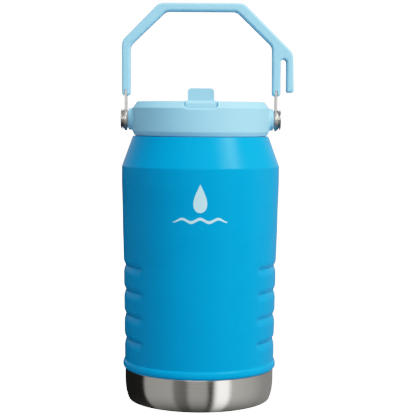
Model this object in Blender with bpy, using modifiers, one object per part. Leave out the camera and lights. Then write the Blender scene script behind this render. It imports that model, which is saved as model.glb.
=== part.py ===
"""Insulated water jug: flip-straw screw lid, swinging carry handle with a side hook.

Metres, +Z up. The origin is the centre of the base, on the surface the jug stands on.
The front, where the spout's thumb tab is, faces -Y, and the handle's hook is on +X.
Every piece is modelled in place; pieces that move hang from an empty on their axis.
"""
import math

import bmesh
import bpy
from mathutils import Matrix, Vector

MM = 0.001
GAP = 0.3 * MM
RING_STEPS = 48
SMALL_STEPS = 24

# Bottle: heights above the floor and radii about the Z axis.
SHOULDER_Z = 188.0 * MM
SHOULDER_R = 64.0 * MM
RIM_Z = 214.7 * MM
RIM_R = 55.1 * MM
RIM_INSET = 1.6 * MM
SHELL_FOOT_Z = 26.3 * MM
SHELL_FOOT_R = 61.1 * MM
BEAD_Z = 29.4 * MM
BEAD_R = 61.95 * MM
BAND_R = 60.6 * MM
BAND_TOP_Z = SHELL_FOOT_Z - GAP
TONGUE_R = 59.9 * MM
TONGUE_INNER_R = 59.1 * MM
TONGUE_TOP_Z = 29.6 * MM
BASE_UNDER_Z = 2.6 * MM
BASE_TOP_Z = 3.7 * MM
FOOT_R = 56.5 * MM
WALL = 0.9 * MM
RIBBED_INNER_R = 59.2 * MM
LINER_WALL = 0.8 * MM
LINER_R = 58.4 * MM
LINER_FLOOR_Z = 9.4 * MM
NECK_R = 50.9 * MM
NECK_FOOT_Z = 197.0 * MM
MOUTH_R = 50.0 * MM
RIM_SEAT_R = 52.9 * MM
PAD_R = 40.0 * MM
PAD_TOP_Z = 2.3 * MM
GETTER_R = 9.0 * MM
GETTER_TOP_Z = 9.1 * MM
GETTER_FOOT_Z = 6.4 * MM

# Side ribs: grooves that are deepest at +X and -X and fade out towards the front.
GROOVE_TOP_Z = 110.2 * MM
GROOVE_PITCH = 19.9 * MM
GROOVE_HEIGHTS = [GROOVE_TOP_Z - index * GROOVE_PITCH for index in range(4)]
GROOVE_HALF = 5.0 * MM
GROOVE_DEPTH = 1.5 * MM
GROOVE_FULL = math.radians(24.0)
GROOVE_END = math.radians(40.0)

# Screw thread between the neck and the lid's plug.
THREAD_PITCH = 6.0 * MM
THREAD_TURN = math.radians(420.0)
THREAD_STEPS = 35
THREAD_FADE_STEPS = 4
THREAD_ROOT_HALF = 1.2 * MM
THREAD_TIP_HALF = 0.6 * MM
NECK_THREAD_Z = 201.5 * MM
NECK_THREAD_R = 48.4 * MM
PLUG_THREAD_R = 49.5 * MM
PLUG_THREAD_Z = NECK_THREAD_Z - THREAD_PITCH / 2

# Lid.
LID_TOP_Z = 242.5 * MM
LID_FLAT_R = 51.4 * MM
LID_R = 55.4 * MM
LID_FOOT_Z = 215.1 * MM
LID_FOOT_R = 53.9 * MM
LID_INNER_R = 53.2 * MM
DECK_UNDER_Z = 240.1 * MM
PLUG_R = 46.6 * MM
PLUG_INNER_R = 44.8 * MM
PLUG_FLOOR_Z = 191.5 * MM
PLUG_FLANGE_Z = 217.7 * MM
PLUG_TOP_Z = 219.7 * MM
PLUG_FLOOR = 2.2 * MM
GASKET_R = 52.8 * MM
GASKET_INNER_R = 50.2 * MM
VENT_Y = 22.0 * MM
VENT_HOLE_R = 1.6 * MM

# Spout, its channel in the lid and the straw below it.
SPOUT_Y = -6.0 * MM
SPOUT_Z = 233.0 * MM
BARREL_R = 6.6 * MM
BARREL_HALF = 11.7 * MM
ARM_HALF = 8.6 * MM
TAB_HALF = 10.0 * MM
TAB_TOP_Z = 252.5 * MM
NOSE_Y = -52.3 * MM
TUBE_INNER_R = 2.5 * MM
CHANNEL_HALF = 12.2 * MM
CHANNEL_FLOOR_Z = 225.4 * MM
CHANNEL_FRONT_Y = -52.9 * MM
CHANNEL_BACK_Y = 3.2 * MM
TRAY_WALL = 2.0 * MM
NOTCH_HALF = 12.65 * MM
NOTCH_Z = 236.5 * MM
SEAT_R = 5.9 * MM
BORE_R = 3.6 * MM
STUB_R = 1.8 * MM
STUB_IN_X = 7.6 * MM
STUB_OUT_X = 14.0 * MM
STRAW_R = 5.5 * MM
STRAW_INNER_R = 4.3 * MM
STRAW_FOOT_Z = 15.0 * MM
NOZZLE_R = 4.0 * MM
NOZZLE_INNER_R = 2.8 * MM
NOZZLE_FOOT_Z = 176.0 * MM
ADAPTER_FLANGE_R = 8.0 * MM

# Handle, its steel straps and the pivots on the lid's sides.
PIVOT_Z = 228.1 * MM
BOSS_R = 8.4 * MM
BOSS_END_X = 58.6 * MM
BOSS_ROOT_X = 44.0 * MM
SHAFT_R = 3.6 * MM
PIN_HEAD_R = 7.5 * MM
PIN_COLLAR_R = 7.4 * MM
PIN_GROOVE_R = 6.3 * MM
PIN_END_X = 64.8 * MM
PIN_FOOT_X = 46.0 * MM
WASHER_R = 7.2 * MM
BUSH_R = 5.0 * MM
STRAP_IN_X = 59.65 * MM
STRAP_OUT_X = 61.65 * MM
EYE_R = 9.3 * MM
EYE_BORE_R = 5.3 * MM
STRAP_HALF = 6.0 * MM
STRAP_TOP_Z = 262.5 * MM
RIVET_Z = 257.5 * MM
RIVET_R = 1.8 * MM
HANDLE_HALF_DEPTH = 8.0 * MM
HANDLE_TOP_Z = 321.3 * MM
HANDLE_UNDER_Z = 314.6 * MM
HANDLE_TOP_HALF = 34.0 * MM
HANDLE_UNDER_HALF = 28.4 * MM
LEFT_LEG = (57.0 * MM, 63.7 * MM)
RIGHT_LEG = (57.4 * MM, 64.1 * MM)
HOOK_END_Z = 249.9 * MM
HOOK_SLOT_TOP_Z = 276.6 * MM
LEG_END_Z = 246.8 * MM
SLIT_TOP_Z = 251.5 * MM

# Finishes: linear colour, roughness, metallic.
BLUE_COAT = ((0.0, 0.28, 0.60), 0.42, 0.0)
SKY_PLASTIC = ((0.35, 0.63, 0.80), 0.45, 0.0)
BRUSHED_STEEL = ((0.55, 0.54, 0.52), 0.30, 1.0)
DARK_STEEL = ((0.40, 0.40, 0.40), 0.35, 1.0)
CLEAR_SILICONE = ((0.75, 0.80, 0.82), 0.55, 0.0)
GREY_SILICONE = ((0.20, 0.22, 0.24), 0.65, 0.0)
WHITE_PLASTIC = ((0.80, 0.80, 0.78), 0.50, 0.0)
PALE_FOAM = ((0.85, 0.85, 0.82), 0.90, 0.0)


def clear_scene():
    """Remove whatever the file opened with."""
    for obj in list(bpy.data.objects):
        bpy.data.objects.remove(obj, do_unlink=True)


def new_collection(name):
    collection = bpy.data.collections.new(name)
    bpy.context.scene.collection.children.link(collection)
    return collection


clear_scene()
PARTS = new_collection("water_jug")
CUTTERS = new_collection("cutters")


def add_object(name, mesh, collection=PARTS):
    obj = bpy.data.objects.new(name, mesh)
    collection.objects.link(obj)
    if collection == CUTTERS:
        obj.hide_render = True
        obj.display_type = "WIRE"
    return obj


def add_bmesh(name, bm, collection=PARTS):
    """Write a bmesh to a new object and free it."""
    mesh = bpy.data.meshes.new(name)
    bm.to_mesh(mesh)
    bm.free()
    return add_object(name, mesh, collection)


def finish(obj, look, bevel=0.0, segments=2):
    """Give a piece its own material and an optional edge bevel."""
    colour, roughness, metallic = look
    material = bpy.data.materials.new(obj.name)
    material.use_nodes = True
    shader = material.node_tree.nodes["Principled BSDF"]
    shader.inputs["Base Color"].default_value = (*colour, 1.0)
    shader.inputs["Roughness"].default_value = roughness
    shader.inputs["Metallic"].default_value = metallic
    obj.data.materials.append(material)
    if bevel:
        add_bevel(obj, bevel, segments)
    return obj


def add_bevel(obj, width, segments=2):
    modifier = obj.modifiers.new("Rounded edges", "BEVEL")
    modifier.width = width
    modifier.segments = segments
    modifier.limit_method = "ANGLE"
    modifier.angle_limit = math.radians(40.0)


def combine(obj, other, operation):
    """Boolean another shape into a piece: UNION, DIFFERENCE or INTERSECT."""
    modifier = obj.modifiers.new(other.name, "BOOLEAN")
    modifier.operation = operation
    modifier.solver = "EXACT"
    modifier.object = other


def turned(name, profile, collection=PARTS, steps=RING_STEPS, closed=True):
    """Revolve (radius, height) points that run down the outer side.

    A closed profile makes a ring; an open one starts and ends on the axis.
    """
    bm = bmesh.new()
    points = [bm.verts.new((radius, 0.0, height)) for radius, height in profile]
    for first, second in zip(points, points[1:]):
        bm.edges.new((first, second))
    if closed:
        bm.edges.new((points[-1], points[0]))
    obj = add_bmesh(name, bm, collection)
    screw = obj.modifiers.new("Turn", "SCREW")
    screw.axis = "Z"
    screw.angle = math.tau
    screw.steps = steps
    screw.render_steps = steps
    screw.use_merge_vertices = True
    screw.merge_threshold = 0.00001
    return obj


def opened(profile, start):
    """A closed profile's points from its start, for turning one that meets the axis."""
    first = profile.index(start)
    return profile[first:] + profile[:first]


def to_mesh(obj):
    """Replace a curve or a piece with modifiers by its evaluated mesh, in place."""
    bpy.context.view_layer.update()
    evaluated = obj.evaluated_get(bpy.context.evaluated_depsgraph_get())
    mesh = bpy.data.meshes.new_from_object(evaluated)
    mesh.transform(obj.matrix_world)
    name = obj.name
    collection = obj.users_collection[0]
    bpy.data.objects.remove(obj, do_unlink=True)
    return add_object(name, mesh, collection)


def slab(name, outline, low, high, axis, collection=PARTS):
    """Fill a flat outline and extrude it from low to high along X, Y or Z.

    The outline's points are (y, z) for axis X, (x, z) for Y and (x, y) for Z.
    """
    curve = bpy.data.curves.new(name, "CURVE")
    curve.dimensions = "2D"
    curve.fill_mode = "BOTH"
    curve.extrude = (high - low) / 2
    spline = curve.splines.new("POLY")
    spline.points.add(len(outline) - 1)
    for point, (first, second) in zip(spline.points, outline):
        point.co = (first, second, 0.0, 1.0)
    spline.use_cyclic_u = True
    obj = add_object(name, curve, collection)
    middle = (low + high) / 2
    if axis == "X":
        columns = Matrix(((0, 0, 1, 0), (1, 0, 0, 0), (0, 1, 0, 0), (0, 0, 0, 1)))
        obj.matrix_world = Matrix.Translation((middle, 0.0, 0.0)) @ columns
    elif axis == "Y":
        quarter = Matrix.Rotation(math.pi / 2, 4, "X")
        obj.matrix_world = Matrix.Translation((0.0, middle, 0.0)) @ quarter
    else:
        obj.matrix_world = Matrix.Translation((0.0, 0.0, middle))
    obj = to_mesh(obj)
    bm = bmesh.new()
    bm.from_mesh(obj.data)
    bmesh.ops.remove_doubles(bm, verts=bm.verts, dist=0.000001)
    bmesh.ops.dissolve_limit(
        bm, angle_limit=math.radians(0.5), verts=bm.verts, edges=bm.edges
    )
    bmesh.ops.recalc_face_normals(bm, faces=bm.faces)
    bm.to_mesh(obj.data)
    bm.free()
    return obj


def rounded(corners, steps=3):
    """Points of a closed outline given as (a, b, radius) corners, with true arcs."""
    points = []
    for index, (a, b, radius) in enumerate(corners):
        corner = Vector((a, b))
        if not radius:
            points.append((a, b))
            continue
        back = (Vector(corners[index - 1][:2]) - corner).normalized()
        ahead = (Vector(corners[(index + 1) % len(corners)][:2]) - corner).normalized()
        half = back.angle(ahead) / 2
        centre = corner + (back + ahead).normalized() * radius / math.sin(half)
        start = corner + back * radius / math.tan(half) - centre
        end = corner + ahead * radius / math.tan(half) - centre
        first = math.atan2(start.y, start.x)
        turn = math.remainder(math.atan2(end.y, end.x) - first, math.tau)
        for step in range(steps + 1):
            angle = first + turn * step / steps
            points.append((
                centre.x + radius * math.cos(angle),
                centre.y + radius * math.sin(angle),
            ))
    return points


def rods(name, spans, collection=CUTTERS, steps=SMALL_STEPS):
    """Capped cylinders, each given as (radius, start, end), that don't touch."""
    bm = bmesh.new()
    for radius, start, end in spans:
        start = Vector(start)
        end = Vector(end)
        turn = Vector((0.0, 0.0, 1.0)).rotation_difference(end - start)
        bmesh.ops.create_cone(
            bm,
            cap_ends=True,
            segments=steps,
            radius1=radius,
            radius2=radius,
            depth=(end - start).length,
            matrix=Matrix.Translation((start + end) / 2) @ turn.to_matrix().to_4x4(),
        )
    return add_bmesh(name, bm, collection)


def across(radius, near, far, y, z):
    """The two mirrored spans along X, between two distances from the middle."""
    return [(radius, (sign * near, y, z), (sign * far, y, z)) for sign in (-1, 1)]


def block(name, low, high):
    """A box between its lowest and highest corners, to cut or join with."""
    low = Vector(low)
    high = Vector(high)
    bm = bmesh.new()
    size = Matrix.Diagonal((*(high - low), 1.0))
    bmesh.ops.create_cube(bm, size=1.0, matrix=Matrix.Translation((low + high) / 2) @ size)
    return add_bmesh(name, bm, CUTTERS)


def ring(name, inner, outer, low, high, steps=RING_STEPS, centre=(0.0, 0.0)):
    """A plain square-edged ring standing on the Z direction."""
    profile = [(outer, high), (outer, low), (inner, low), (inner, high)]
    obj = turned(name, profile, steps=steps)
    obj.location = (*centre, 0.0)
    return obj


def thread_ridge(name, root_radius, tip_radius, start_height):
    """A helical ridge of trapezoid sections that fades out at both ends."""
    bm = bmesh.new()
    sections = []
    for step in range(THREAD_STEPS + 1):
        angle = THREAD_TURN * step / THREAD_STEPS
        height = start_height + THREAD_PITCH * angle / math.tau
        edge = min(step, THREAD_STEPS - step) / THREAD_FADE_STEPS
        fade = min(1.0, 0.15 + 0.85 * edge)
        tip = root_radius + (tip_radius - root_radius) * fade
        section = [
            (root_radius, -THREAD_ROOT_HALF),
            (tip, -THREAD_TIP_HALF),
            (tip, THREAD_TIP_HALF),
            (root_radius, THREAD_ROOT_HALF),
        ]
        sections.append([
            bm.verts.new((r * math.cos(angle), r * math.sin(angle), height + rise))
            for r, rise in section
        ])
    for near, far in zip(sections, sections[1:]):
        for side in range(4):
            after = (side + 1) % 4
            bm.faces.new((near[side], far[side], far[after], near[after]))
    bm.faces.new(sections[0])
    bm.faces.new(reversed(sections[-1]))
    bmesh.ops.recalc_face_normals(bm, faces=bm.faces)
    return add_bmesh(name, bm, CUTTERS)


# Bottle


def smooth_wall_radius(height):
    """Outer radius of the upper body and of the ribbed part between its grooves."""
    stations = [
        (34.0 * MM, 61.0 * MM),
        (113.5 * MM, 62.15 * MM),
        (135.0 * MM, 62.95 * MM),
        (158.0 * MM, 63.3 * MM),
        (177.0 * MM, 63.9 * MM),
        (SHOULDER_Z, SHOULDER_R),
    ]
    for (low, low_r), (high, high_r) in zip(stations, stations[1:]):
        if height <= high:
            share = (height - low) / (high - low)
            return low_r + (high_r - low_r) * share
    return SHOULDER_R


def groove_share(angle):
    """1 on the sides of the jug, 0 on its front and back, smooth between them."""
    from_side = abs(math.remainder(angle, math.pi))
    share = (GROOVE_END - from_side) / (GROOVE_END - GROOVE_FULL)
    share = max(0.0, min(1.0, share))
    return share * share * (3.0 - 2.0 * share)


def groove_depth(height):
    depth = 0.0
    for centre in GROOVE_HEIGHTS:
        offset = abs(height - centre) / GROOVE_HALF
        if offset < 1.0:
            depth = GROOVE_DEPTH * math.cos(offset * math.pi / 2) ** 2
    return depth


def build_outer_shell():
    """Coated outer wall: sloped shoulder, side ribs and a bead above the steel band."""
    heights = [177.0 * MM, 158.0 * MM, 135.0 * MM]
    for centre in GROOVE_HEIGHTS:
        heights += [centre + GROOVE_HALF * share for share in (1.0, 0.5, 0.0, -0.5, -1.0)]
    heights.append(34.0 * MM)
    profile = [
        (RIM_R - RIM_INSET, RIM_Z),
        (RIM_R - 0.5 * MM, RIM_Z - 0.2 * MM),
        (RIM_R, RIM_Z - 1.0 * MM),
        (62.5 * MM, 195.2 * MM),
        (63.6 * MM, 191.6 * MM),
        (SHOULDER_R, SHOULDER_Z),
    ]
    profile += [(smooth_wall_radius(height), height) for height in heights]
    profile += [
        (61.5 * MM, 32.0 * MM),
        (BEAD_R, BEAD_Z),
        (61.8 * MM, 27.8 * MM),
        (SHELL_FOOT_R, SHELL_FOOT_Z),
        (SHELL_FOOT_R - WALL, SHELL_FOOT_Z),
        (60.5 * MM, 32.0 * MM),
        (RIBBED_INNER_R, 38.0 * MM),
        (RIBBED_INNER_R, 113.0 * MM),
        (62.3 * MM, 124.0 * MM),
        (SHOULDER_R - WALL, SHOULDER_Z - WALL),
        (RIM_R - RIM_INSET, RIM_Z - 2.2 * MM),
    ]
    shell = to_mesh(turned("outer_shell", profile))
    for vertex in shell.data.vertices:
        radius = math.hypot(vertex.co.x, vertex.co.y)
        height = vertex.co.z
        if radius < smooth_wall_radius(height) - 0.1 * MM:
            continue
        angle = math.atan2(vertex.co.y, vertex.co.x)
        reduced = radius - groove_depth(height) * groove_share(angle)
        vertex.co.x *= reduced / radius
        vertex.co.y *= reduced / radius
    return finish(shell, BLUE_COAT)


def build_inner_liner():
    """Steel liner with a rolled rim and the female thread in its neck."""
    profile = [
        (RIM_SEAT_R, RIM_Z),
        (RIM_SEAT_R, RIM_Z - 1.2 * MM),
        (NECK_R, RIM_Z - 2.0 * MM),
        (NECK_R, NECK_FOOT_Z),
        (57.6 * MM, 186.5 * MM),
        (LINER_R, 183.0 * MM),
        (LINER_R, 20.0 * MM),
        (56.6 * MM, 13.0 * MM),
        (50.0 * MM, LINER_FLOOR_Z),
        (0.0, LINER_FLOOR_Z),
        (0.0, LINER_FLOOR_Z + LINER_WALL),
        (49.7 * MM, LINER_FLOOR_Z + LINER_WALL),
        (55.9 * MM, 13.6 * MM),
        (LINER_R - LINER_WALL, 20.2 * MM),
        (LINER_R - LINER_WALL, 182.8 * MM),
        (56.9 * MM, 186.2 * MM),
        (MOUTH_R, NECK_FOOT_Z + 0.2 * MM),
        (MOUTH_R, RIM_Z),
    ]
    outline = opened(profile, (0.0, LINER_FLOOR_Z + LINER_WALL))
    liner = turned("inner_liner", outline, closed=False)
    ridge = thread_ridge("neck_ridge", NECK_R - 0.4 * MM, NECK_THREAD_R, NECK_THREAD_Z)
    combine(liner, ridge, "UNION")
    return finish(liner, BRUSHED_STEEL)


def build_base_cup():
    """Bare steel band and floor, with a tongue that nests inside the coated shell."""
    profile = [
        (TONGUE_R, TONGUE_TOP_Z),
        (TONGUE_R, BAND_TOP_Z),
        (BAND_R, BAND_TOP_Z),
        (BAND_R, 19.0 * MM),
        (60.1 * MM, 9.0 * MM),
        (59.5 * MM, 5.0 * MM),
        (58.4 * MM, 2.2 * MM),
        (FOOT_R, 0.4 * MM),
        (55.2 * MM, 0.0),
        (47.0 * MM, 0.0),
        (45.0 * MM, BASE_UNDER_Z),
        (0.0, BASE_UNDER_Z),
        (0.0, BASE_TOP_Z),
        (45.4 * MM, BASE_TOP_Z),
        (48.0 * MM, 1.2 * MM),
        (55.6 * MM, 1.4 * MM),
        (58.4 * MM, 6.0 * MM),
        (TONGUE_INNER_R, 12.0 * MM),
        (TONGUE_INNER_R, TONGUE_TOP_Z),
    ]
    outline = opened(profile, (0.0, BASE_TOP_Z))
    return finish(turned("base_cup", outline, closed=False), BRUSHED_STEEL)


def build_base_pad():
    """Soft foot disc, flush with the foot ring, in the recess of the base."""
    profile = [
        (0.0, PAD_TOP_Z),
        (PAD_R, PAD_TOP_Z),
        (PAD_R, 0.5 * MM),
        (PAD_R - 0.5 * MM, 0.0),
        (0.0, 0.0),
    ]
    return finish(turned("base_pad", profile, closed=False), GREY_SILICONE)


def build_getter():
    """Gas-absorbing button on the liner's floor, inside the vacuum space."""
    profile = [
        (0.0, GETTER_TOP_Z),
        (GETTER_R, GETTER_TOP_Z),
        (GETTER_R, GETTER_FOOT_Z + 0.8 * MM),
        (GETTER_R - 1.5 * MM, GETTER_FOOT_Z),
        (0.0, GETTER_FOOT_Z),
    ]
    getter = turned("vacuum_getter", profile, closed=False, steps=SMALL_STEPS)
    return finish(getter, DARK_STEEL)


# Lid


def lid_wall_profile():
    """Outline of the lid's cap: deck, chamfered edge, side and turned-in foot."""
    return [
        (0.0, LID_TOP_Z),
        (LID_FLAT_R - 0.8 * MM, LID_TOP_Z),
        (LID_FLAT_R + 0.3 * MM, LID_TOP_Z - 0.3 * MM),
        (LID_R - 0.5 * MM, LID_TOP_Z - 4.9 * MM),
        (LID_R, LID_TOP_Z - 6.3 * MM),
        (LID_R, 218.4 * MM),
        (LID_R - 0.5 * MM, 216.3 * MM),
        (LID_FOOT_R, LID_FOOT_Z),
        (LID_INNER_R, LID_FOOT_Z),
        (LID_INNER_R, 236.5 * MM),
        (LID_FLAT_R - 1.4 * MM, DECK_UNDER_Z),
        (0.0, DECK_UNDER_Z),
    ]


def pivot_boss(name, side):
    """Round boss on the lid's side, flared at its root, that carries a handle pivot."""
    profile = [
        (0.0, BOSS_END_X),
        (BOSS_R - 0.7 * MM, BOSS_END_X),
        (BOSS_R, BOSS_END_X - 0.7 * MM),
        (BOSS_R + 0.2 * MM, 55.8 * MM),
        (BOSS_R + 1.0 * MM, 54.2 * MM),
        (BOSS_R - 1.4 * MM, 52.4 * MM),
        (BOSS_R - 1.4 * MM, BOSS_ROOT_X),
        (0.0, BOSS_ROOT_X),
    ]
    boss = turned(name, profile, CUTTERS, SMALL_STEPS, closed=False)
    boss.rotation_euler = (0.0, side * math.pi / 2, 0.0)
    boss.location = (0.0, 0.0, PIVOT_Z)
    return boss


def channel_walls():
    """Tray under the deck that the folded spout lies in, before it is hollowed out."""
    tray = block(
        "channel_tray",
        (-CHANNEL_HALF - TRAY_WALL, -60.0 * MM, CHANNEL_FLOOR_Z - TRAY_WALL),
        (CHANNEL_HALF + TRAY_WALL, CHANNEL_BACK_Y + TRAY_WALL, LID_TOP_Z - 1.0 * MM),
    )
    inside = [
        (0.0, LID_TOP_Z),
        (LID_FLAT_R - 1.6 * MM, LID_TOP_Z),
        (LID_R - 1.3 * MM, LID_TOP_Z - 6.0 * MM),
        (LID_R - 1.3 * MM, CHANNEL_FLOOR_Z - 5.0 * MM),
        (0.0, CHANNEL_FLOOR_Z - 5.0 * MM),
    ]
    keep = turned("tray_keep", inside, CUTTERS, closed=False)
    combine(tray, keep, "INTERSECT")
    return tray


def channel_cutter():
    outline = rounded([
        (-CHANNEL_HALF, CHANNEL_FRONT_Y, 2.0 * MM),
        (CHANNEL_HALF, CHANNEL_FRONT_Y, 2.0 * MM),
        (CHANNEL_HALF, CHANNEL_BACK_Y, 3.0 * MM),
        (-CHANNEL_HALF, CHANNEL_BACK_Y, 3.0 * MM),
    ])
    return slab("channel_cut", outline, CHANNEL_FLOOR_Z, 250.0 * MM, "Z", CUTTERS)


def notch_cutter():
    """Finger notch through the front of the lid's edge."""
    outline = rounded([
        (-NOTCH_HALF - 0.8 * MM, LID_TOP_Z + 4.0 * MM, 0.0),
        (-NOTCH_HALF, NOTCH_Z, 3.0 * MM),
        (NOTCH_HALF, NOTCH_Z, 3.0 * MM),
        (NOTCH_HALF + 0.8 * MM, LID_TOP_Z + 4.0 * MM, 0.0),
    ])
    return slab("notch_cut", outline, -60.0 * MM, -48.0 * MM, "Y", CUTTERS)


def lid_drill():
    """Pivot bores, the hinge stubs' bores and the stepped hole under the spout."""
    drill = rods(
        "lid_drill",
        across(SHAFT_R + GAP, 40.0 * MM, 70.0 * MM, 0.0, PIVOT_Z)
        + across(STUB_R + GAP, 10.0 * MM, 20.0 * MM, SPOUT_Y, SPOUT_Z),
    )
    stepped = [
        (0.0, CHANNEL_FLOOR_Z + 1.0 * MM),
        (SEAT_R, CHANNEL_FLOOR_Z + 1.0 * MM),
        (SEAT_R, CHANNEL_FLOOR_Z - 1.0 * MM),
        (3.0 * MM, CHANNEL_FLOOR_Z - 1.0 * MM),
        (3.0 * MM, 220.0 * MM),
        (0.0, 220.0 * MM),
    ]
    seat = turned("seal_seat", stepped, CUTTERS, SMALL_STEPS, closed=False)
    seat.location = (0.0, SPOUT_Y, 0.0)
    combine(drill, seat, "UNION")
    return drill


def build_lid_body():
    """Lid cap with the spout's channel, its finger notch and the two pivot bosses."""
    lid = turned("lid_body", lid_wall_profile(), closed=False)
    combine(lid, channel_walls(), "UNION")
    for side, word in ((-1, "left"), (1, "right")):
        combine(lid, pivot_boss("boss_" + word, side), "UNION")
    combine(lid, channel_cutter(), "DIFFERENCE")
    combine(lid, notch_cutter(), "DIFFERENCE")
    combine(lid, lid_drill(), "DIFFERENCE")
    return finish(lid, SKY_PLASTIC)


def build_lid_plug():
    """Threaded cup that hangs inside the bottle's neck."""
    profile = [
        (PLUG_INNER_R, PLUG_TOP_Z),
        (RIM_SEAT_R, PLUG_TOP_Z),
        (RIM_SEAT_R, PLUG_FLANGE_Z),
        (PLUG_R, PLUG_FLANGE_Z),
        (PLUG_R, PLUG_FLOOR_Z + 1.2 * MM),
        (PLUG_R - 1.2 * MM, PLUG_FLOOR_Z),
        (0.0, PLUG_FLOOR_Z),
        (0.0, PLUG_FLOOR_Z + PLUG_FLOOR),
        (PLUG_INNER_R, PLUG_FLOOR_Z + PLUG_FLOOR),
    ]
    outline = opened(profile, (0.0, PLUG_FLOOR_Z + PLUG_FLOOR))
    plug = turned("lid_plug", outline, closed=False)
    ridge = thread_ridge("plug_ridge", PLUG_R - 0.5 * MM, PLUG_THREAD_R, PLUG_THREAD_Z)
    combine(plug, ridge, "UNION")
    low = PLUG_FLOOR_Z - 2.0 * MM
    high = PLUG_FLOOR_Z + 5.0 * MM
    holes = rods("plug_holes", [
        (NOZZLE_R + GAP, (0.0, SPOUT_Y, low), (0.0, SPOUT_Y, high)),
        (VENT_HOLE_R, (0.0, VENT_Y, low), (0.0, VENT_Y, high)),
    ], steps=16)
    combine(plug, holes, "DIFFERENCE")
    return finish(plug, SKY_PLASTIC)


def build_lid_insulation():
    """Foam puck that fills the plug, with passages for the straw and the vent."""
    low = PLUG_FLOOR_Z + PLUG_FLOOR + GAP
    high = PLUG_TOP_Z + 0.7 * MM
    radius = PLUG_INNER_R - 0.4 * MM
    outline = [(0.0, high), (radius, high), (radius, low), (0.0, low)]
    foam = turned("lid_insulation", outline, closed=False)
    below = low - 2.0 * MM
    above = high + 2.0 * MM
    holes = rods("foam_holes", [
        (NOZZLE_R + 0.5 * MM, (0.0, SPOUT_Y, below), (0.0, SPOUT_Y, above)),
        (3.0 * MM, (0.0, VENT_Y, below), (0.0, VENT_Y, above)),
    ], steps=16)
    combine(foam, holes, "DIFFERENCE")
    return finish(foam, PALE_FOAM)


def build_lid_gasket():
    """Round-section ring between the plug's flange and the bottle's rim."""
    gasket = ring(
        "lid_gasket", GASKET_INNER_R, GASKET_R, RIM_Z + GAP, PLUG_FLANGE_Z - GAP
    )
    return finish(gasket, CLEAR_SILICONE)


def build_vent_valve():
    """Umbrella valve under the plug's floor, held by a barbed stem."""
    floor_top = PLUG_FLOOR_Z + PLUG_FLOOR
    profile = [
        (0.0, floor_top + 3.0 * MM),
        (1.2 * MM, floor_top + 2.6 * MM),
        (2.4 * MM, floor_top + 0.4 * MM),
        (1.2 * MM, floor_top + 0.4 * MM),
        (1.2 * MM, PLUG_FLOOR_Z - 0.4 * MM),
        (5.0 * MM, PLUG_FLOOR_Z - 0.4 * MM),
        (4.6 * MM, PLUG_FLOOR_Z - 1.0 * MM),
        (0.0, PLUG_FLOOR_Z - 1.8 * MM),
    ]
    valve = turned("vent_valve", profile, closed=False, steps=12)
    valve.location = (0.0, VENT_Y, 0.0)
    return finish(valve, CLEAR_SILICONE)


# Spout and straw


def spout_side_outline():
    """The spout's side view: flat arm, upright thumb tab and a nose sloping forward."""
    return rounded([
        (-6.0 * MM, 239.2 * MM, 0.0),
        (-44.6 * MM, 241.2 * MM, 2.0 * MM),
        (-46.6 * MM, TAB_TOP_Z, 1.0 * MM),
        (-49.4 * MM, TAB_TOP_Z, 1.0 * MM),
        (-49.2 * MM, 242.6 * MM, 2.5 * MM),
        (NOSE_Y, 237.8 * MM, 1.0 * MM),
        (NOSE_Y, 228.4 * MM, 1.5 * MM),
        (-6.0 * MM, 227.0 * MM, 0.0),
    ])


def build_spout():
    """Flip spout: a barrel on the hinge, an arm with the bore and the thumb tab."""
    side = spout_side_outline()
    spout = slab("spout", side, -TAB_HALF - 1.0 * MM, TAB_HALF + 1.0 * MM, "X")
    front = rounded([
        (-TAB_HALF, TAB_TOP_Z, 3.0 * MM),
        (TAB_HALF, TAB_TOP_Z, 3.0 * MM),
        (TAB_HALF, 228.0 * MM, 3.5 * MM),
        (-TAB_HALF, 228.0 * MM, 3.5 * MM),
    ])
    head = slab("spout_head_keep", front, -60.0 * MM, -43.0 * MM, "Y", CUTTERS)
    arm = rounded([
        (-ARM_HALF, 239.8 * MM, 2.5 * MM),
        (ARM_HALF, 239.8 * MM, 2.5 * MM),
        (ARM_HALF, 227.4 * MM, 3.5 * MM),
        (-ARM_HALF, 227.4 * MM, 3.5 * MM),
    ])
    arm_keep = slab("spout_arm_keep", arm, -46.0 * MM, 0.0, "Y", CUTTERS)
    combine(head, arm_keep, "UNION")
    combine(spout, head, "INTERSECT")
    barrel = rods(
        "spout_barrel",
        [(BARREL_R, (-BARREL_HALF, SPOUT_Y, SPOUT_Z), (BARREL_HALF, SPOUT_Y, SPOUT_Z))],
        steps=32,
    )
    combine(spout, barrel, "UNION")
    bores = [(BORE_R, (0.0, -60.0 * MM, SPOUT_Z), (0.0, 6.0 * MM, SPOUT_Z))]
    bores += across(STUB_R + GAP, STUB_IN_X - 0.4 * MM, 15.0 * MM, SPOUT_Y, SPOUT_Z)
    combine(spout, rods("spout_bores", bores, steps=16), "DIFFERENCE")
    return finish(spout, SKY_PLASTIC)


def build_spout_tube():
    """Soft drinking tube that lines the spout's bore."""
    length_profile = [
        (BORE_R - GAP, -1.4 * MM),
        (BORE_R - GAP, NOSE_Y + 0.5 * MM),
        (TUBE_INNER_R, NOSE_Y + 0.5 * MM),
        (TUBE_INNER_R, -1.4 * MM),
    ]
    tube = turned("spout_tube", length_profile, steps=16)
    tube.rotation_euler = (-math.pi / 2, 0.0, 0.0)
    tube.location = (0.0, 0.0, SPOUT_Z)
    return finish(tube, CLEAR_SILICONE)


def build_spout_stubs():
    """Steel stub pins that the spout's barrel turns on."""
    stubs = []
    spans = across(STUB_R, STUB_IN_X, STUB_OUT_X, SPOUT_Y, SPOUT_Z)
    for word, span in zip(("left", "right"), spans):
        stub = rods("spout_stub_" + word, [span], PARTS, steps=16)
        stubs.append(finish(stub, BRUSHED_STEEL))
    return stubs


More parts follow.
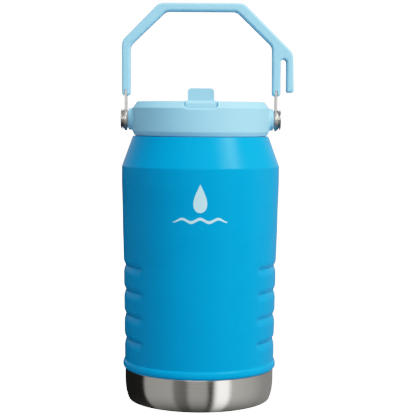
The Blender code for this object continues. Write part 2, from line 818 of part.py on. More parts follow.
def build_spout_seal():
    """Ring that seals the barrel against the channel's floor."""
    seal = ring(
        "spout_seal",
        3.4 * MM,
        5.6 * MM,
        CHANNEL_FLOOR_Z - 0.7 * MM,
        CHANNEL_FLOOR_Z + 0.6 * MM,
        SMALL_STEPS,
        (0.0, SPOUT_Y),
    )
    return finish(seal, GREY_SILICONE)


def build_straw_adapter():
    """Flanged nozzle that leads from the spout's seal down to the straw."""
    flange_top = CHANNEL_FLOOR_Z - TRAY_WALL - GAP
    profile = [
        (ADAPTER_FLANGE_R, flange_top),
        (ADAPTER_FLANGE_R, flange_top - 1.4 * MM),
        (NOZZLE_R, flange_top - 1.4 * MM),
        (NOZZLE_R, NOZZLE_FOOT_Z + 1.0 * MM),
        (NOZZLE_R - 0.6 * MM, NOZZLE_FOOT_Z),
        (NOZZLE_INNER_R, NOZZLE_FOOT_Z),
        (NOZZLE_INNER_R, flange_top),
    ]
    adapter = turned("straw_adapter", profile, steps=SMALL_STEPS)
    adapter.location = (0.0, SPOUT_Y, 0.0)
    return finish(adapter, WHITE_PLASTIC)


def build_straw():
    """Long straw, cut at a slant just above the liner's floor."""
    top = PLUG_FLOOR_Z - 1.0 * MM
    profile = [
        (STRAW_R, top),
        (STRAW_R, STRAW_FOOT_Z),
        (STRAW_INNER_R, STRAW_FOOT_Z),
        (STRAW_INNER_R, top),
    ]
    straw = to_mesh(turned("straw", profile, steps=SMALL_STEPS))
    for vertex in straw.data.vertices:
        if vertex.co.z < STRAW_FOOT_Z + MM:
            vertex.co.z += 0.6 * (STRAW_R + vertex.co.x)
        vertex.co.y += SPOUT_Y
    return finish(straw, CLEAR_SILICONE)


# Handle


def handle_outline():
    """Front view of the bail: eight-sided loop whose right side runs on into a hook."""
    return rounded([
        (-LEFT_LEG[1], LEG_END_Z, 2.6 * MM),
        (-63.9 * MM, 290.8 * MM, 8.0 * MM),
        (-HANDLE_TOP_HALF, HANDLE_TOP_Z, 9.0 * MM),
        (HANDLE_TOP_HALF, HANDLE_TOP_Z, 9.0 * MM),
        (73.9 * MM, 281.8 * MM, 9.0 * MM),
        (74.9 * MM, HOOK_END_Z, 1.6 * MM),
        (68.8 * MM, HOOK_END_Z, 1.2 * MM),
        (68.7 * MM, HOOK_SLOT_TOP_Z, 2.25 * MM),
        (RIGHT_LEG[1], HOOK_SLOT_TOP_Z, 2.25 * MM),
        (RIGHT_LEG[1], LEG_END_Z, 2.6 * MM),
        (RIGHT_LEG[0], LEG_END_Z, 2.6 * MM),
        (57.1 * MM, 287.0 * MM, 6.0 * MM),
        (HANDLE_UNDER_HALF, HANDLE_UNDER_Z, 6.0 * MM),
        (-HANDLE_UNDER_HALF, HANDLE_UNDER_Z, 6.0 * MM),
        (-57.1 * MM, 287.0 * MM, 6.0 * MM),
        (-LEFT_LEG[0], LEG_END_Z, 2.6 * MM),
    ])


def build_handle():
    """Moulded bail with a pocket in each leg for its steel strap."""
    handle = slab(
        "handle_bail", handle_outline(), -HANDLE_HALF_DEPTH, HANDLE_HALF_DEPTH, "Y"
    )
    finish(handle, SKY_PLASTIC, bevel=1.6 * MM)
    for sign, word in ((-1, "left"), (1, "right")):
        low_x, high_x = sorted((sign * (STRAP_IN_X - 0.4 * MM), sign * (STRAP_OUT_X + 0.4 * MM)))
        pocket = block(
            "strap_pocket_" + word,
            (low_x, -STRAP_HALF - 0.5 * MM, LEG_END_Z - 5.0 * MM),
            (high_x, STRAP_HALF + 0.5 * MM, STRAP_TOP_Z + 1.0 * MM),
        )
        slit = block(
            "strap_slit_" + word,
            (low_x, -12.0 * MM, LEG_END_Z - 6.0 * MM),
            (high_x, 12.0 * MM, SLIT_TOP_Z),
        )
        combine(pocket, slit, "UNION")
        combine(handle, pocket, "DIFFERENCE")
    holes = across(RIVET_R + GAP, 50.0 * MM, 66.0 * MM, 0.0, RIVET_Z)
    combine(handle, rods("leg_rivet_holes", holes, steps=12), "DIFFERENCE")
    return handle


def strap_outline():
    """Side view of a strap: round eye at the pivot, straight tongue up into the leg."""
    points = []
    neck = math.asin(STRAP_HALF / EYE_R)
    sweep = math.tau - 2 * neck
    steps = 20
    for step in range(steps + 1):
        angle = math.pi / 2 - neck - sweep * step / steps
        points.append((EYE_R * math.cos(angle), PIVOT_Z + EYE_R * math.sin(angle)))
    tongue_top = rounded([
        (-STRAP_HALF, PIVOT_Z, 0.0),
        (-STRAP_HALF, STRAP_TOP_Z, 3.0 * MM),
        (STRAP_HALF, STRAP_TOP_Z, 3.0 * MM),
        (STRAP_HALF, PIVOT_Z, 0.0),
    ])
    return points + tongue_top[1:-1]


def build_straps():
    """Flat steel straps that join the handle's legs to the pivots."""
    straps = []
    for sign, word in ((-1, "left"), (1, "right")):
        low_x, high_x = sorted((sign * STRAP_IN_X, sign * STRAP_OUT_X))
        strap = slab("handle_strap_" + word, strap_outline(), low_x, high_x, "X")
        finish(strap, BRUSHED_STEEL, bevel=0.35 * MM, segments=1)
        near = sign * 55.0 * MM
        far = sign * 66.0 * MM
        holes = rods("strap_holes_" + word, [
            (EYE_BORE_R, (near, 0.0, PIVOT_Z), (far, 0.0, PIVOT_Z)),
            (RIVET_R + GAP, (near, 0.0, RIVET_Z), (far, 0.0, RIVET_Z)),
        ])
        combine(strap, holes, "DIFFERENCE")
        straps.append(strap)
    return straps


def side_ring(name, sign, inner, outer, near, far):
    """A ring about the handle's pivot axis between two distances from the middle."""
    part = turned(name, [(outer, far), (outer, near), (inner, near), (inner, far)],
                  steps=SMALL_STEPS)
    part.rotation_euler = (0.0, sign * math.pi / 2, 0.0)
    part.location = (0.0, 0.0, PIVOT_Z)
    return part


def build_pivot_hardware():
    """Shouldered pins, washers and bushes of the two pivots, and the strap rivets."""
    fixed = []
    swinging = []
    pin_profile = [
        (0.0, PIN_END_X),
        (PIN_HEAD_R - 1.1 * MM, PIN_END_X),
        (PIN_HEAD_R, PIN_END_X - 0.5 * MM),
        (PIN_HEAD_R, PIN_END_X - 1.2 * MM),
        (PIN_GROOVE_R, PIN_END_X - 1.3 * MM),
        (PIN_GROOVE_R, PIN_END_X - 1.9 * MM),
        (PIN_COLLAR_R, PIN_END_X - 2.0 * MM),
        (PIN_COLLAR_R, STRAP_OUT_X + GAP),
        (SHAFT_R, STRAP_OUT_X + GAP),
        (SHAFT_R, PIN_FOOT_X + 0.5 * MM),
        (SHAFT_R - 0.6 * MM, PIN_FOOT_X),
        (0.0, PIN_FOOT_X),
    ]
    legs = ((-1, "left", LEFT_LEG), (1, "right", RIGHT_LEG))
    for sign, word, (leg_in, leg_out) in legs:
        pin = turned("pivot_pin_" + word, pin_profile, steps=SMALL_STEPS, closed=False)
        pin.rotation_euler = (0.0, sign * math.pi / 2, 0.0)
        pin.location = (0.0, 0.0, PIVOT_Z)
        fixed.append(finish(pin, BRUSHED_STEEL))
        washer = side_ring(
            "pivot_washer_" + word,
            sign,
            SHAFT_R + GAP,
            WASHER_R,
            BOSS_END_X + GAP,
            STRAP_IN_X - GAP,
        )
        fixed.append(finish(washer, WHITE_PLASTIC))
        bush = side_ring(
            "pivot_bush_" + word,
            sign,
            SHAFT_R + GAP,
            BUSH_R,
            STRAP_IN_X,
            STRAP_OUT_X - 0.05 * MM,
        )
        swinging.append(finish(bush, WHITE_PLASTIC))
        near = sign * (leg_in + 0.35 * MM)
        far = sign * (leg_out - 0.25 * MM)
        span = (RIVET_R, (near, 0.0, RIVET_Z), (far, 0.0, RIVET_Z))
        rivet = rods("strap_rivet_" + word, [span], PARTS, steps=12)
        swinging.append(finish(rivet, DARK_STEEL))
    return fixed, swinging


def hang_from(name, place, pieces):
    """Parent pieces to an empty on their joint's axis and leave them where they are."""
    empty = bpy.data.objects.new(name, None)
    PARTS.objects.link(empty)
    empty.location = place
    for piece in pieces:
        piece.parent = empty
        piece.matrix_parent_inverse = Matrix.Translation(place).inverted()
    return empty


def build_jug():
    build_outer_shell()
    build_inner_liner()
    build_base_cup()
    build_base_pad()
    build_getter()
    gasket = build_lid_gasket()
    lid_pieces = [
        build_lid_body(),
        build_lid_plug(),
        build_lid_insulation(),
        build_vent_valve(),
        build_spout_seal(),
        build_straw_adapter(),
        build_straw(),
        *build_spout_stubs(),
    ]
    fixed, swinging = build_pivot_hardware()
    lid_axis = hang_from("lid_axis", (0.0, 0.0, RIM_Z), [gasket, *lid_pieces, *fixed])
    spout_axis = hang_from(
        "spout_axis", (0.0, SPOUT_Y, SPOUT_Z), [build_spout(), build_spout_tube()]
    )
    handle_axis = hang_from(
        "handle_axis", (0.0, 0.0, PIVOT_Z), [build_handle(), *build_straps(), *swinging]
    )
    for axis in (spout_axis, handle_axis):
        axis.parent = lid_axis
        axis.matrix_parent_inverse = Matrix.Translation(lid_axis.location).inverted()
    for obj in PARTS.objects:
        if obj.type == "MESH":
            obj.data.shade_smooth()
            obj.data.set_sharp_from_angle(angle=math.radians(30.0))


build_jug()
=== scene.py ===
"""Finished shapes, materials and studio for the insulated water jug.

Metres, +Z up. The jug stands on the floor with its axis on Z, its front faces -Y and
the handle's hook is on +X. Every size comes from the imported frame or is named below.
"""
import math

import bmesh
import bpy
from bpy.props import FloatProperty, FloatVectorProperty, IntProperty, PointerProperty
from mathutils import Matrix, Vector


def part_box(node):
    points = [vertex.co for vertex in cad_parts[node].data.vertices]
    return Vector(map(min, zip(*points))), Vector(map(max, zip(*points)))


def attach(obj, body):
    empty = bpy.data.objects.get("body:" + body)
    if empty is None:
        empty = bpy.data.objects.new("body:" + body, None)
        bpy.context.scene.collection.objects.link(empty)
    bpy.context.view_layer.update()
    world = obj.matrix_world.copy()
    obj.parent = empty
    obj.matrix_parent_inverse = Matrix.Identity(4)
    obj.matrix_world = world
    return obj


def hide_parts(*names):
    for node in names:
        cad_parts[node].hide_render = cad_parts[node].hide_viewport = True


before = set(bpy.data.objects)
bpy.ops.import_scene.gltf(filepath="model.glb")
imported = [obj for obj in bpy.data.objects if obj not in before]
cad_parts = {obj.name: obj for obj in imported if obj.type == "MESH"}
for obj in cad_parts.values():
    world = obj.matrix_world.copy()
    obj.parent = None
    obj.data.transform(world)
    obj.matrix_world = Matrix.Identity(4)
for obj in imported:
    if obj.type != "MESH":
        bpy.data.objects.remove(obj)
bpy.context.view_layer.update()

bl_info = {
    "name": "Water jug looks",
    "version": (1, 0, 0),
    "blender": (4, 5, 0),
    "location": "3D View > Sidebar > Water jug",
    "description": "Finished shapes, materials and studio for the insulated water jug",
    "category": "Object",
}

MM = 0.001
WHITE_LEVEL = 3.2
PRINT_GAP = 0.01 * MM
PRINT_HEIGHT = 0.05 * MM
PRESS_BORE_R = 2.1 * MM
FOOT_CURVE = 24.0 * MM
FOOT_TUCK = 3.4 * MM
FLOOR_RADIUS = 6.0

# Places read from the frame.
SHELL_LOW, SHELL_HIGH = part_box("outer_shell")
CUP_LOW, CUP_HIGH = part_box("base_cup")
PAD_LOW, PAD_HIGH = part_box("base_pad")
LID_LOW, LID_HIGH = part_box("lid_body")
SPOUT_LOW, SPOUT_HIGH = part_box("spout")
BAIL_LOW, BAIL_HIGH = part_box("handle_bail")
STRAP_LOW, STRAP_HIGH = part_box("handle_strap_right")
PIN_LOW, PIN_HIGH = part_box("pivot_pin_right")
STUB_LOW, STUB_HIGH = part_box("spout_stub_right")
RIVET_LOW, RIVET_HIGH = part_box("strap_rivet_right")
GASKET_LOW, GASKET_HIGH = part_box("lid_gasket")

SHOULDER_R = SHELL_HIGH.x
RIM_Z = SHELL_HIGH.z
SHELL_FOOT_Z = SHELL_LOW.z
BAND_TOP_Z = SHELL_FOOT_Z - 0.3 * MM
BAND_R = CUP_HIGH.x
LID_R = LID_HIGH.y
LID_TOP_Z = LID_HIGH.z
LID_FOOT_Z = LID_LOW.z
BOSS_END_X = LID_HIGH.x
PIVOT_Z = (PIN_LOW.z + PIN_HIGH.z) / 2
HINGE_Y = (STUB_LOW.y + STUB_HIGH.y) / 2
HINGE_Z = (STUB_LOW.z + STUB_HIGH.z) / 2
TAB_TOP_Z = SPOUT_HIGH.z
RIVET_Z = (RIVET_LOW.z + RIVET_HIGH.z) / 2


def length(label, text, value):
    return FloatProperty(name=label, description=text, default=value, unit="LENGTH")


def colour(label, text, value):
    return FloatVectorProperty(
        name=label, description=text, default=value, subtype="COLOR", size=3, min=0, max=1
    )


class JugFinishes(bpy.types.PropertyGroup):
    coat: colour("Coat", "Powder coat on the bottle", (0.0, 0.218, 0.525))
    plastic: colour("Plastic", "Lid, spout and handle", (0.205, 0.505, 0.75))
    steel: colour("Steel", "Bare stainless steel", (0.60, 0.578, 0.53))
    dark_steel: colour("Dark steel", "Rivets and getter", (0.30, 0.30, 0.30))
    # The pins' steel is set darker than the band's steel as painted shade, so the lower halves of
    # the heads read dark.
    shaded_pin_steel: colour("Shaded pin steel", "Polished pivot pins", (0.44, 0.42, 0.39))
    silicone: colour("Silicone", "Gasket, straw and valve", (0.78, 0.82, 0.84))
    grey_rubber: colour("Grey rubber", "Base pad and spout seal", (0.16, 0.18, 0.20))
    white_plastic: colour("White plastic", "Bushes, washers, adapter", (0.78, 0.78, 0.76))
    foam: colour("Foam", "Insulation in the lid", (0.86, 0.85, 0.80))
    mark: colour("Mark", "Printed drop on the front", (0.36, 0.66, 0.81))


class JugBottle(bpy.types.PropertyGroup):
    steps: IntProperty(name="Steps", description="Facets round a turned piece", default=192)
    rim_radius: length("Rim radius", "Top edge of the coated shell", 55.2 * MM)
    wall: length("Wall", "Shown thickness of the coated shell", 0.9 * MM)
    bead_rise: length("Bead", "How far the bead above the band stands out", 1.5 * MM)
    bead_half: length("Bead half height", "From the bead's crest to its foot", 2.7 * MM)
    groove_depth: length("Groove depth", "Depth of the side grooves", 1.7 * MM)
    groove_rise: length("Groove rise", "From a groove's line to its upper edge", 4.8 * MM)
    groove_fall: length("Groove fall", "From a groove's line to its lower edge", 6.8 * MM)
    groove_reach: FloatProperty(
        name="Groove reach", description="How far a groove runs round from the side",
        default=math.radians(44.5), unit="ROTATION",
    )
    groove_top: length("Top groove", "Height of the highest groove", 110.2 * MM)
    groove_pitch: length("Groove pitch", "Height between grooves", 19.9 * MM)
    mark_z: length("Mark height", "Middle of the printed drop", 168.0 * MM)
    drop_height: length("Drop height", "Height of the printed drop", 22.0 * MM)


class JugLid(bpy.types.PropertyGroup):
    flat_radius: length("Flat radius", "Radius of the flat deck", 51.5 * MM)
    chamfer: length("Chamfer", "Height of the sloped edge", 5.3 * MM)
    boss_radius: length("Boss radius", "Side boss that carries a pivot", 8.8 * MM)
    channel_half: length("Channel half width", "Channel of the folded spout", 12.2 * MM)
    notch_half: length("Notch half width", "Finger notch in the front edge", 12.65 * MM)
    notch_floor: length("Notch floor", "Below the deck", 5.7 * MM)
    notch_edge: length("Notch edge", "Rounding of the notch's outer edge", 1.2 * MM)
    channel_floor: length("Channel floor", "Below the deck", 17.1 * MM)
    edge: length("Edge radius", "Rounding of the channel's and notch's edges", 0.45 * MM)


class JugHandle(bpy.types.PropertyGroup):
    edge: length("Edge radius", "Rounding of the bail's long edges", 1.9 * MM)
    tab_edge: length("Tab edge radius", "Rounding of the spout's edges", 0.9 * MM)
    head_radius: length("Pin head radius", "Head of a pivot pin", 8.1 * MM)


# Shapes


def filleted(corners, closed=True):
    """Points of an outline given as (a, b, radius) corners, with true arcs."""
    points = []
    last = len(corners) - 1
    for index, (a, b, radius) in enumerate(corners):
        if not radius or (not closed and index in (0, last)):
            points.append((a, b))
            continue
        corner = Vector((a, b))
        back = (Vector(corners[index - 1][:2]) - corner).normalized()
        ahead = (Vector(corners[(index + 1) % len(corners)][:2]) - corner).normalized()
        half = back.angle(ahead) / 2
        centre = corner + (back + ahead).normalized() * radius / math.sin(half)
        start = corner + back * radius / math.tan(half) - centre
        end = corner + ahead * radius / math.tan(half) - centre
        first = math.atan2(start.y, start.x)
        turn = math.remainder(math.atan2(end.y, end.x) - first, math.tau)
        steps = max(3, round(abs(turn) / math.radians(11)))
        for step in range(steps + 1):
            angle = first + turn * step / steps
            points.append(
                (centre.x + radius * math.cos(angle), centre.y + radius * math.sin(angle))
            )
    return points


def add_piece(name, bm):
    """Write a bmesh to a new object at the origin and free it."""
    mesh = bpy.data.meshes.new(name)
    bm.to_mesh(mesh)
    bm.free()
    piece = bpy.data.objects.new(name, mesh)
    bpy.context.scene.collection.objects.link(piece)
    return piece


def spun(name, profile, closed=False, steps=None, axis="Z", sign=1):
    """Turn (radius, height) points about Z, or about the pivot axis with axis X."""
    bm = bmesh.new()
    points = [bm.verts.new((radius, 0.0, height)) for radius, height in profile]
    chain = list(zip(points, points[1:]))
    if closed:
        chain.append((points[-1], points[0]))
    edges = [bm.edges.new(pair) for pair in chain]
    bmesh.ops.spin(
        bm,
        geom=points + edges,
        cent=(0.0, 0.0, 0.0),
        axis=(0.0, 0.0, 1.0),
        angle=math.tau,
        steps=steps or bpy.context.scene.jug_bottle.steps,
        use_merge=True,
    )
    bmesh.ops.remove_doubles(bm, verts=bm.verts, dist=0.001 * MM)
    if axis == "X":
        turn = Matrix.Rotation(sign * math.pi / 2, 4, "Y")
        bm.transform(Matrix.Translation((0.0, 0.0, PIVOT_Z)) @ turn)
    bmesh.ops.recalc_face_normals(bm, faces=bm.faces)
    return add_piece(name, bm)


def turned(name, corners, **options):
    """Turn an open outline of (radius, height, fillet) corners."""
    return spun(name, filleted(corners, closed=False), **options)


def rectangle(left, right, first, second, first_fillet, second_fillet):
    """Outline of a rectangle with one fillet for its first side and one for its second."""
    return filleted([
        (left, first, first_fillet),
        (right, first, first_fillet),
        (right, second, second_fillet),
        (left, second, second_fillet),
    ])


def vertices(grown):
    """The new vertices of a bmesh extrusion."""
    return [item for item in grown["geom"] if isinstance(item, bmesh.types.BMVert)]


def plate(name, outline, low, high, axis):
    """Extrude a flat outline from low to high along X, Y or Z."""
    places = {
        "X": lambda a, b: (low, a, b),
        "Y": lambda a, b: (a, low, b),
        "Z": lambda a, b: (a, b, low),
    }
    bm = bmesh.new()
    face = bm.faces.new([bm.verts.new(places[axis](a, b)) for a, b in outline])
    grown = bmesh.ops.extrude_face_region(bm, geom=[face])
    shift = Vector([high - low if axis == letter else 0.0 for letter in "XYZ"])
    bmesh.ops.translate(bm, verts=vertices(grown), vec=shift)
    bmesh.ops.recalc_face_normals(bm, faces=bm.faces)
    return add_piece(name, bm)


def rounded_plate(name, outline, half, edge, steps=5):
    """A plate in the XZ plane, half its thickness each way, with quarter-round edges."""
    bm = bmesh.new()
    near = -half + edge
    face = bm.faces.new([bm.verts.new((across, near, up)) for across, up in outline])
    grown = bmesh.ops.extrude_face_region(bm, geom=[face])
    bmesh.ops.translate(bm, verts=vertices(grown), vec=(0.0, 2 * (half - edge), 0.0))
    bmesh.ops.recalc_face_normals(bm, faces=bm.faces)
    for cap in [side for side in bm.faces if len(side.verts) == len(outline)]:
        for step in range(steps):
            before = math.pi / 2 * step / steps
            after = math.pi / 2 * (step + 1) / steps
            bmesh.ops.inset_region(
                bm,
                faces=[cap],
                thickness=edge * (math.cos(before) - math.cos(after)),
                depth=edge * (math.sin(after) - math.sin(before)),
                use_even_offset=True,
            )
        bmesh.ops.inset_region(
            bm, faces=[cap], thickness=0.2 * MM, depth=0.0, use_even_offset=True
        )
    return add_piece(name, bm)


def bar(name, radius, start, end, steps=48):
    """A capped round bar between two points."""
    start = Vector(start)
    end = Vector(end)
    turn = Vector((0.0, 0.0, 1.0)).rotation_difference(end - start).to_matrix().to_4x4()
    bm = bmesh.new()
    bmesh.ops.create_cone(
        bm,
        cap_ends=True,
        segments=steps,
        radius1=radius,
        radius2=radius,
        depth=(end - start).length,
        matrix=Matrix.Translation((start + end) / 2) @ turn,
    )
    return add_piece(name, bm)


def combine(piece, other, operation):
    """Boolean another shape into a piece for good and remove that shape."""
    modifier = piece.modifiers.new("Combine", "BOOLEAN")
    modifier.operation = operation
    modifier.solver = "EXACT"
    modifier.object = other
    bpy.context.view_layer.update()
    evaluated = piece.evaluated_get(bpy.context.evaluated_depsgraph_get())
    mesh = bpy.data.meshes.new_from_object(evaluated)
    piece.modifiers.clear()
    piece.data = mesh
    bpy.data.objects.remove(other)


def bore(piece, radius, near, far, y, z, steps=48):
    """Cut a round hole along X, from near to far, through a piece."""
    combine(piece, bar("bore", radius, (near, y, z), (far, y, z), steps), "DIFFERENCE")


def edit(piece, work):
    """Run one bmesh step on a piece's mesh."""
    bm = bmesh.new()
    bm.from_mesh(piece.data)
    work(bm)
    bm.to_mesh(piece.data)
    bm.free()


def soften(piece, width, segments=3, angle=30.0, inside=None):
    """Bevel a piece's sharp edges; inside picks them by their middle point."""

    def work(bm):
        bmesh.ops.remove_doubles(bm, verts=bm.verts, dist=0.01 * MM)
        bmesh.ops.dissolve_limit(
            bm, angle_limit=math.radians(0.2), verts=bm.verts, edges=bm.edges
        )
        sharp = [
            edge
            for edge in bm.edges
            if edge.is_manifold
            and edge.calc_face_angle() > math.radians(angle)
            and (inside is None or inside((edge.verts[0].co + edge.verts[1].co) / 2))
        ]
        bmesh.ops.bevel(
            bm,
            geom=sharp,
            offset=width,
            offset_type="OFFSET",
            affect="EDGES",
            segments=segments,
            profile=0.5,
            material=-1,
            clamp_overlap=True,
        )

    edit(piece, work)
    return piece


def shade(piece, material, body, replaces=()):
    """Smooth shading, material, body and the CAD nodes that the piece stands for."""
    piece.data.materials.clear()
    piece.data.materials.append(material)
    piece.data.shade_smooth()
    piece.data.set_sharp_from_angle(angle=math.radians(32))
    weighted = piece.modifiers.new("Flat faces", "WEIGHTED_NORMAL")
    weighted.keep_sharp = True
    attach(piece, body)
    if replaces:
        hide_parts(*replaces)


# Materials


def new_group(name, inputs, outputs):
    """A shader node group with named sockets; returns its tree, input and output."""
    tree = bpy.data.node_groups.new(name, "ShaderNodeTree")
    for label, value in inputs:
        socket = tree.interface.new_socket(
            name=label, in_out="INPUT", socket_type="NodeSocketFloat"
        )
        socket.default_value = value
    for label in outputs:
        tree.interface.new_socket(
            name=label, in_out="OUTPUT", socket_type="NodeSocketFloat"
        )
    return tree, tree.nodes.new("NodeGroupInput"), tree.nodes.new("NodeGroupOutput")


def places(tree):
    """Object coordinates."""
    return tree.nodes.new("ShaderNodeTexCoord").outputs["Object"]


def noise(tree, vector, scale, detail=2.0, roughness=0.5):
    node = tree.nodes.new("ShaderNodeTexNoise")
    node.inputs["Detail"].default_value = detail
    node.inputs["Roughness"].default_value = roughness
    tree.links.new(vector, node.inputs["Vector"])
    if isinstance(scale, float):
        node.inputs["Scale"].default_value = scale
    else:
        tree.links.new(scale, node.inputs["Scale"])
    return node.outputs["Fac"]


def maths(tree, operation, first, second=0.5, third=0.5):
    node = tree.nodes.new("ShaderNodeMath")
    node.operation = operation
    for socket, value in zip(node.inputs, (first, second, third)):
        if isinstance(value, (int, float)):
            socket.default_value = value
        else:
            tree.links.new(value, socket)
    return node.outputs[0]


def spread(tree, value, low, high, new_low=0.0, new_high=1.0):
    """Map a range of values to another, clamped and eased."""
    node = tree.nodes.new("ShaderNodeMapRange")
    node.interpolation_type = "SMOOTHSTEP"
    for label, number in (
        ("From Min", low), ("From Max", high), ("To Min", new_low), ("To Max", new_high)
    ):
        if isinstance(number, (int, float)):
            node.inputs[label].default_value = number
        else:
            tree.links.new(number, node.inputs[label])
    tree.links.new(value, node.inputs["Value"])
    return node.outputs["Result"]


def make_skin_group():
    """Moulded or sprayed surface: fine grain, soft orange peel and faint mottling."""
    tree, source, sink = new_group(
        "Moulded skin", [("Grain", 3000.0), ("Peel", 400.0)], ["Height", "Mottle"]
    )
    place = places(tree)
    grain = noise(tree, place, source.outputs["Grain"], 3.0, 0.6)
    peel = noise(tree, place, source.outputs["Peel"], 1.0, 0.4)
    height = maths(tree, "MULTIPLY_ADD", grain, 0.45, maths(tree, "MULTIPLY", peel, 0.55))
    tree.links.new(height, sink.inputs["Height"])
    tree.links.new(noise(tree, place, 38.0, 4.0, 0.55), sink.inputs["Mottle"])
    return tree


def make_brush_group():
    """Brushed metal: long thin lines; stretch is the line's length over its width."""
    tree, source, sink = new_group(
        "Brush lines", [("Density", 900.0), ("Stretch", 60.0)], ["Lines", "Scratches"]
    )
    split = tree.nodes.new("ShaderNodeSeparateXYZ")
    tree.links.new(places(tree), split.inputs[0])
    around = tree.nodes.new("ShaderNodeCombineXYZ")
    for label in ("X", "Y"):
        short = maths(tree, "DIVIDE", split.outputs[label], source.outputs["Stretch"])
        tree.links.new(short, around.inputs[label])
    tree.links.new(split.outputs["Z"], around.inputs["Z"])
    fine = noise(tree, around.outputs[0], source.outputs["Density"], 5.0, 0.75)
    tree.links.new(spread(tree, fine, 0.3, 0.7), sink.inputs["Lines"])
    sparse = noise(tree, around.outputs[0], 260.0, 2.0, 0.6)
    tree.links.new(spread(tree, sparse, 0.62, 0.72), sink.inputs["Scratches"])
    return tree


def make_wear_group():
    """Handling marks: soft smudges that change the gloss, and sparse tiny specks."""
    tree, source, sink = new_group(
        "Handling marks", [("Smudge size", 14.0)], ["Smudges", "Specks"]
    )
    place = places(tree)
    smudges = noise(tree, place, source.outputs["Smudge size"], 3.0, 0.65)
    tree.links.new(spread(tree, smudges, 0.35, 0.72), sink.inputs["Smudges"])
    cells = tree.nodes.new("ShaderNodeTexVoronoi")
    cells.inputs["Scale"].default_value = 420.0
    tree.links.new(place, cells.inputs["Vector"])
    near = spread(tree, cells.outputs["Distance"], 0.06, 0.12, 1.0, 0.0)
    rare = spread(tree, noise(tree, place, 60.0, 1.0, 0.5), 0.6, 0.66)
    tree.links.new(maths(tree, "MULTIPLY", near, rare), sink.inputs["Specks"])
    return tree


def group_node(tree, group, **values):
    node = tree.nodes.new("ShaderNodeGroup")
    node.node_tree = group
    for label, value in values.items():
        node.inputs[label.replace("_", " ")].default_value = value
    return node


def new_material(name, roughness, metallic=0.0, **sockets):
    """A material with a Principled BSDF and plain values on its own sockets."""
    material = bpy.data.materials.new(name)
    material.use_nodes = True
    shader = material.node_tree.nodes["Principled BSDF"]
    shader.inputs["Roughness"].default_value = roughness
    shader.inputs["Metallic"].default_value = metallic
    for label, value in sockets.items():
        shader.inputs[label.replace("_", " ")].default_value = value
    return material, material.node_tree, shader


def tinted(tree, shader, base, factor, darker=0.9, lighter=1.06):
    """Base colour that varies a little over the surface."""
    mix = tree.nodes.new("ShaderNodeMix")
    mix.data_type = "RGBA"
    mix.inputs["A"].default_value = (*[value * darker for value in base], 1.0)
    mix.inputs["B"].default_value = (*[min(1.0, value * lighter) for value in base], 1.0)
    tree.links.new(factor, mix.inputs["Factor"])
    tree.links.new(mix.outputs["Result"], shader.inputs["Base Color"])


def bumped(tree, shader, height, distance):
    node = tree.nodes.new("ShaderNodeBump")
    node.inputs["Strength"].default_value = 1.0
    node.inputs["Distance"].default_value = distance
    tree.links.new(height, node.inputs["Height"])
    tree.links.new(node.outputs["Normal"], shader.inputs["Normal"])


def moulded(name, base, roughness, grain, bump, specular=0.5, **sockets):
    """Plastic, rubber or coat with grain, mottled colour and uneven gloss."""
    material, tree, shader = new_material(name, roughness, **sockets)
    shader.inputs["Specular IOR Level"].default_value = specular
    skin = group_node(tree, GROUPS["skin"], Grain=grain, Peel=grain / 6.0)
    marks = group_node(tree, GROUPS["wear"])
    tinted(tree, shader, base, skin.outputs["Mottle"], 0.95, 1.05)
    gloss = spread(
        tree, marks.outputs["Smudges"], 0.0, 1.0, roughness - 0.04, roughness + 0.05
    )
    flecked = maths(tree, "MULTIPLY_ADD", marks.outputs["Specks"], -0.08, gloss)
    tree.links.new(flecked, shader.inputs["Roughness"])
    bumped(tree, shader, skin.outputs["Height"], bump)
    return material


def brushed(name, base, roughness, density, stretch, bump):
    """Stainless steel with brush lines round the Z axis and a few deeper scratches."""
    material, tree, shader = new_material(name, roughness, 1.0)
    lines = group_node(tree, GROUPS["brush"], Density=density, Stretch=stretch)
    marks = group_node(tree, GROUPS["wear"])
    tinted(tree, shader, base, lines.outputs["Lines"], 0.94, 1.05)
    gloss = spread(
        tree, lines.outputs["Lines"], 0.0, 1.0, roughness - 0.02, roughness + 0.03
    )
    hazed = maths(tree, "MULTIPLY_ADD", marks.outputs["Smudges"], 0.04, gloss)
    tree.links.new(hazed, shader.inputs["Roughness"])
    height = maths(
        tree, "SUBTRACT", lines.outputs["Lines"], lines.outputs["Scratches"]
    )
    bumped(tree, shader, height, bump)
    return material


GROUPS = {}
FINISHES = {}


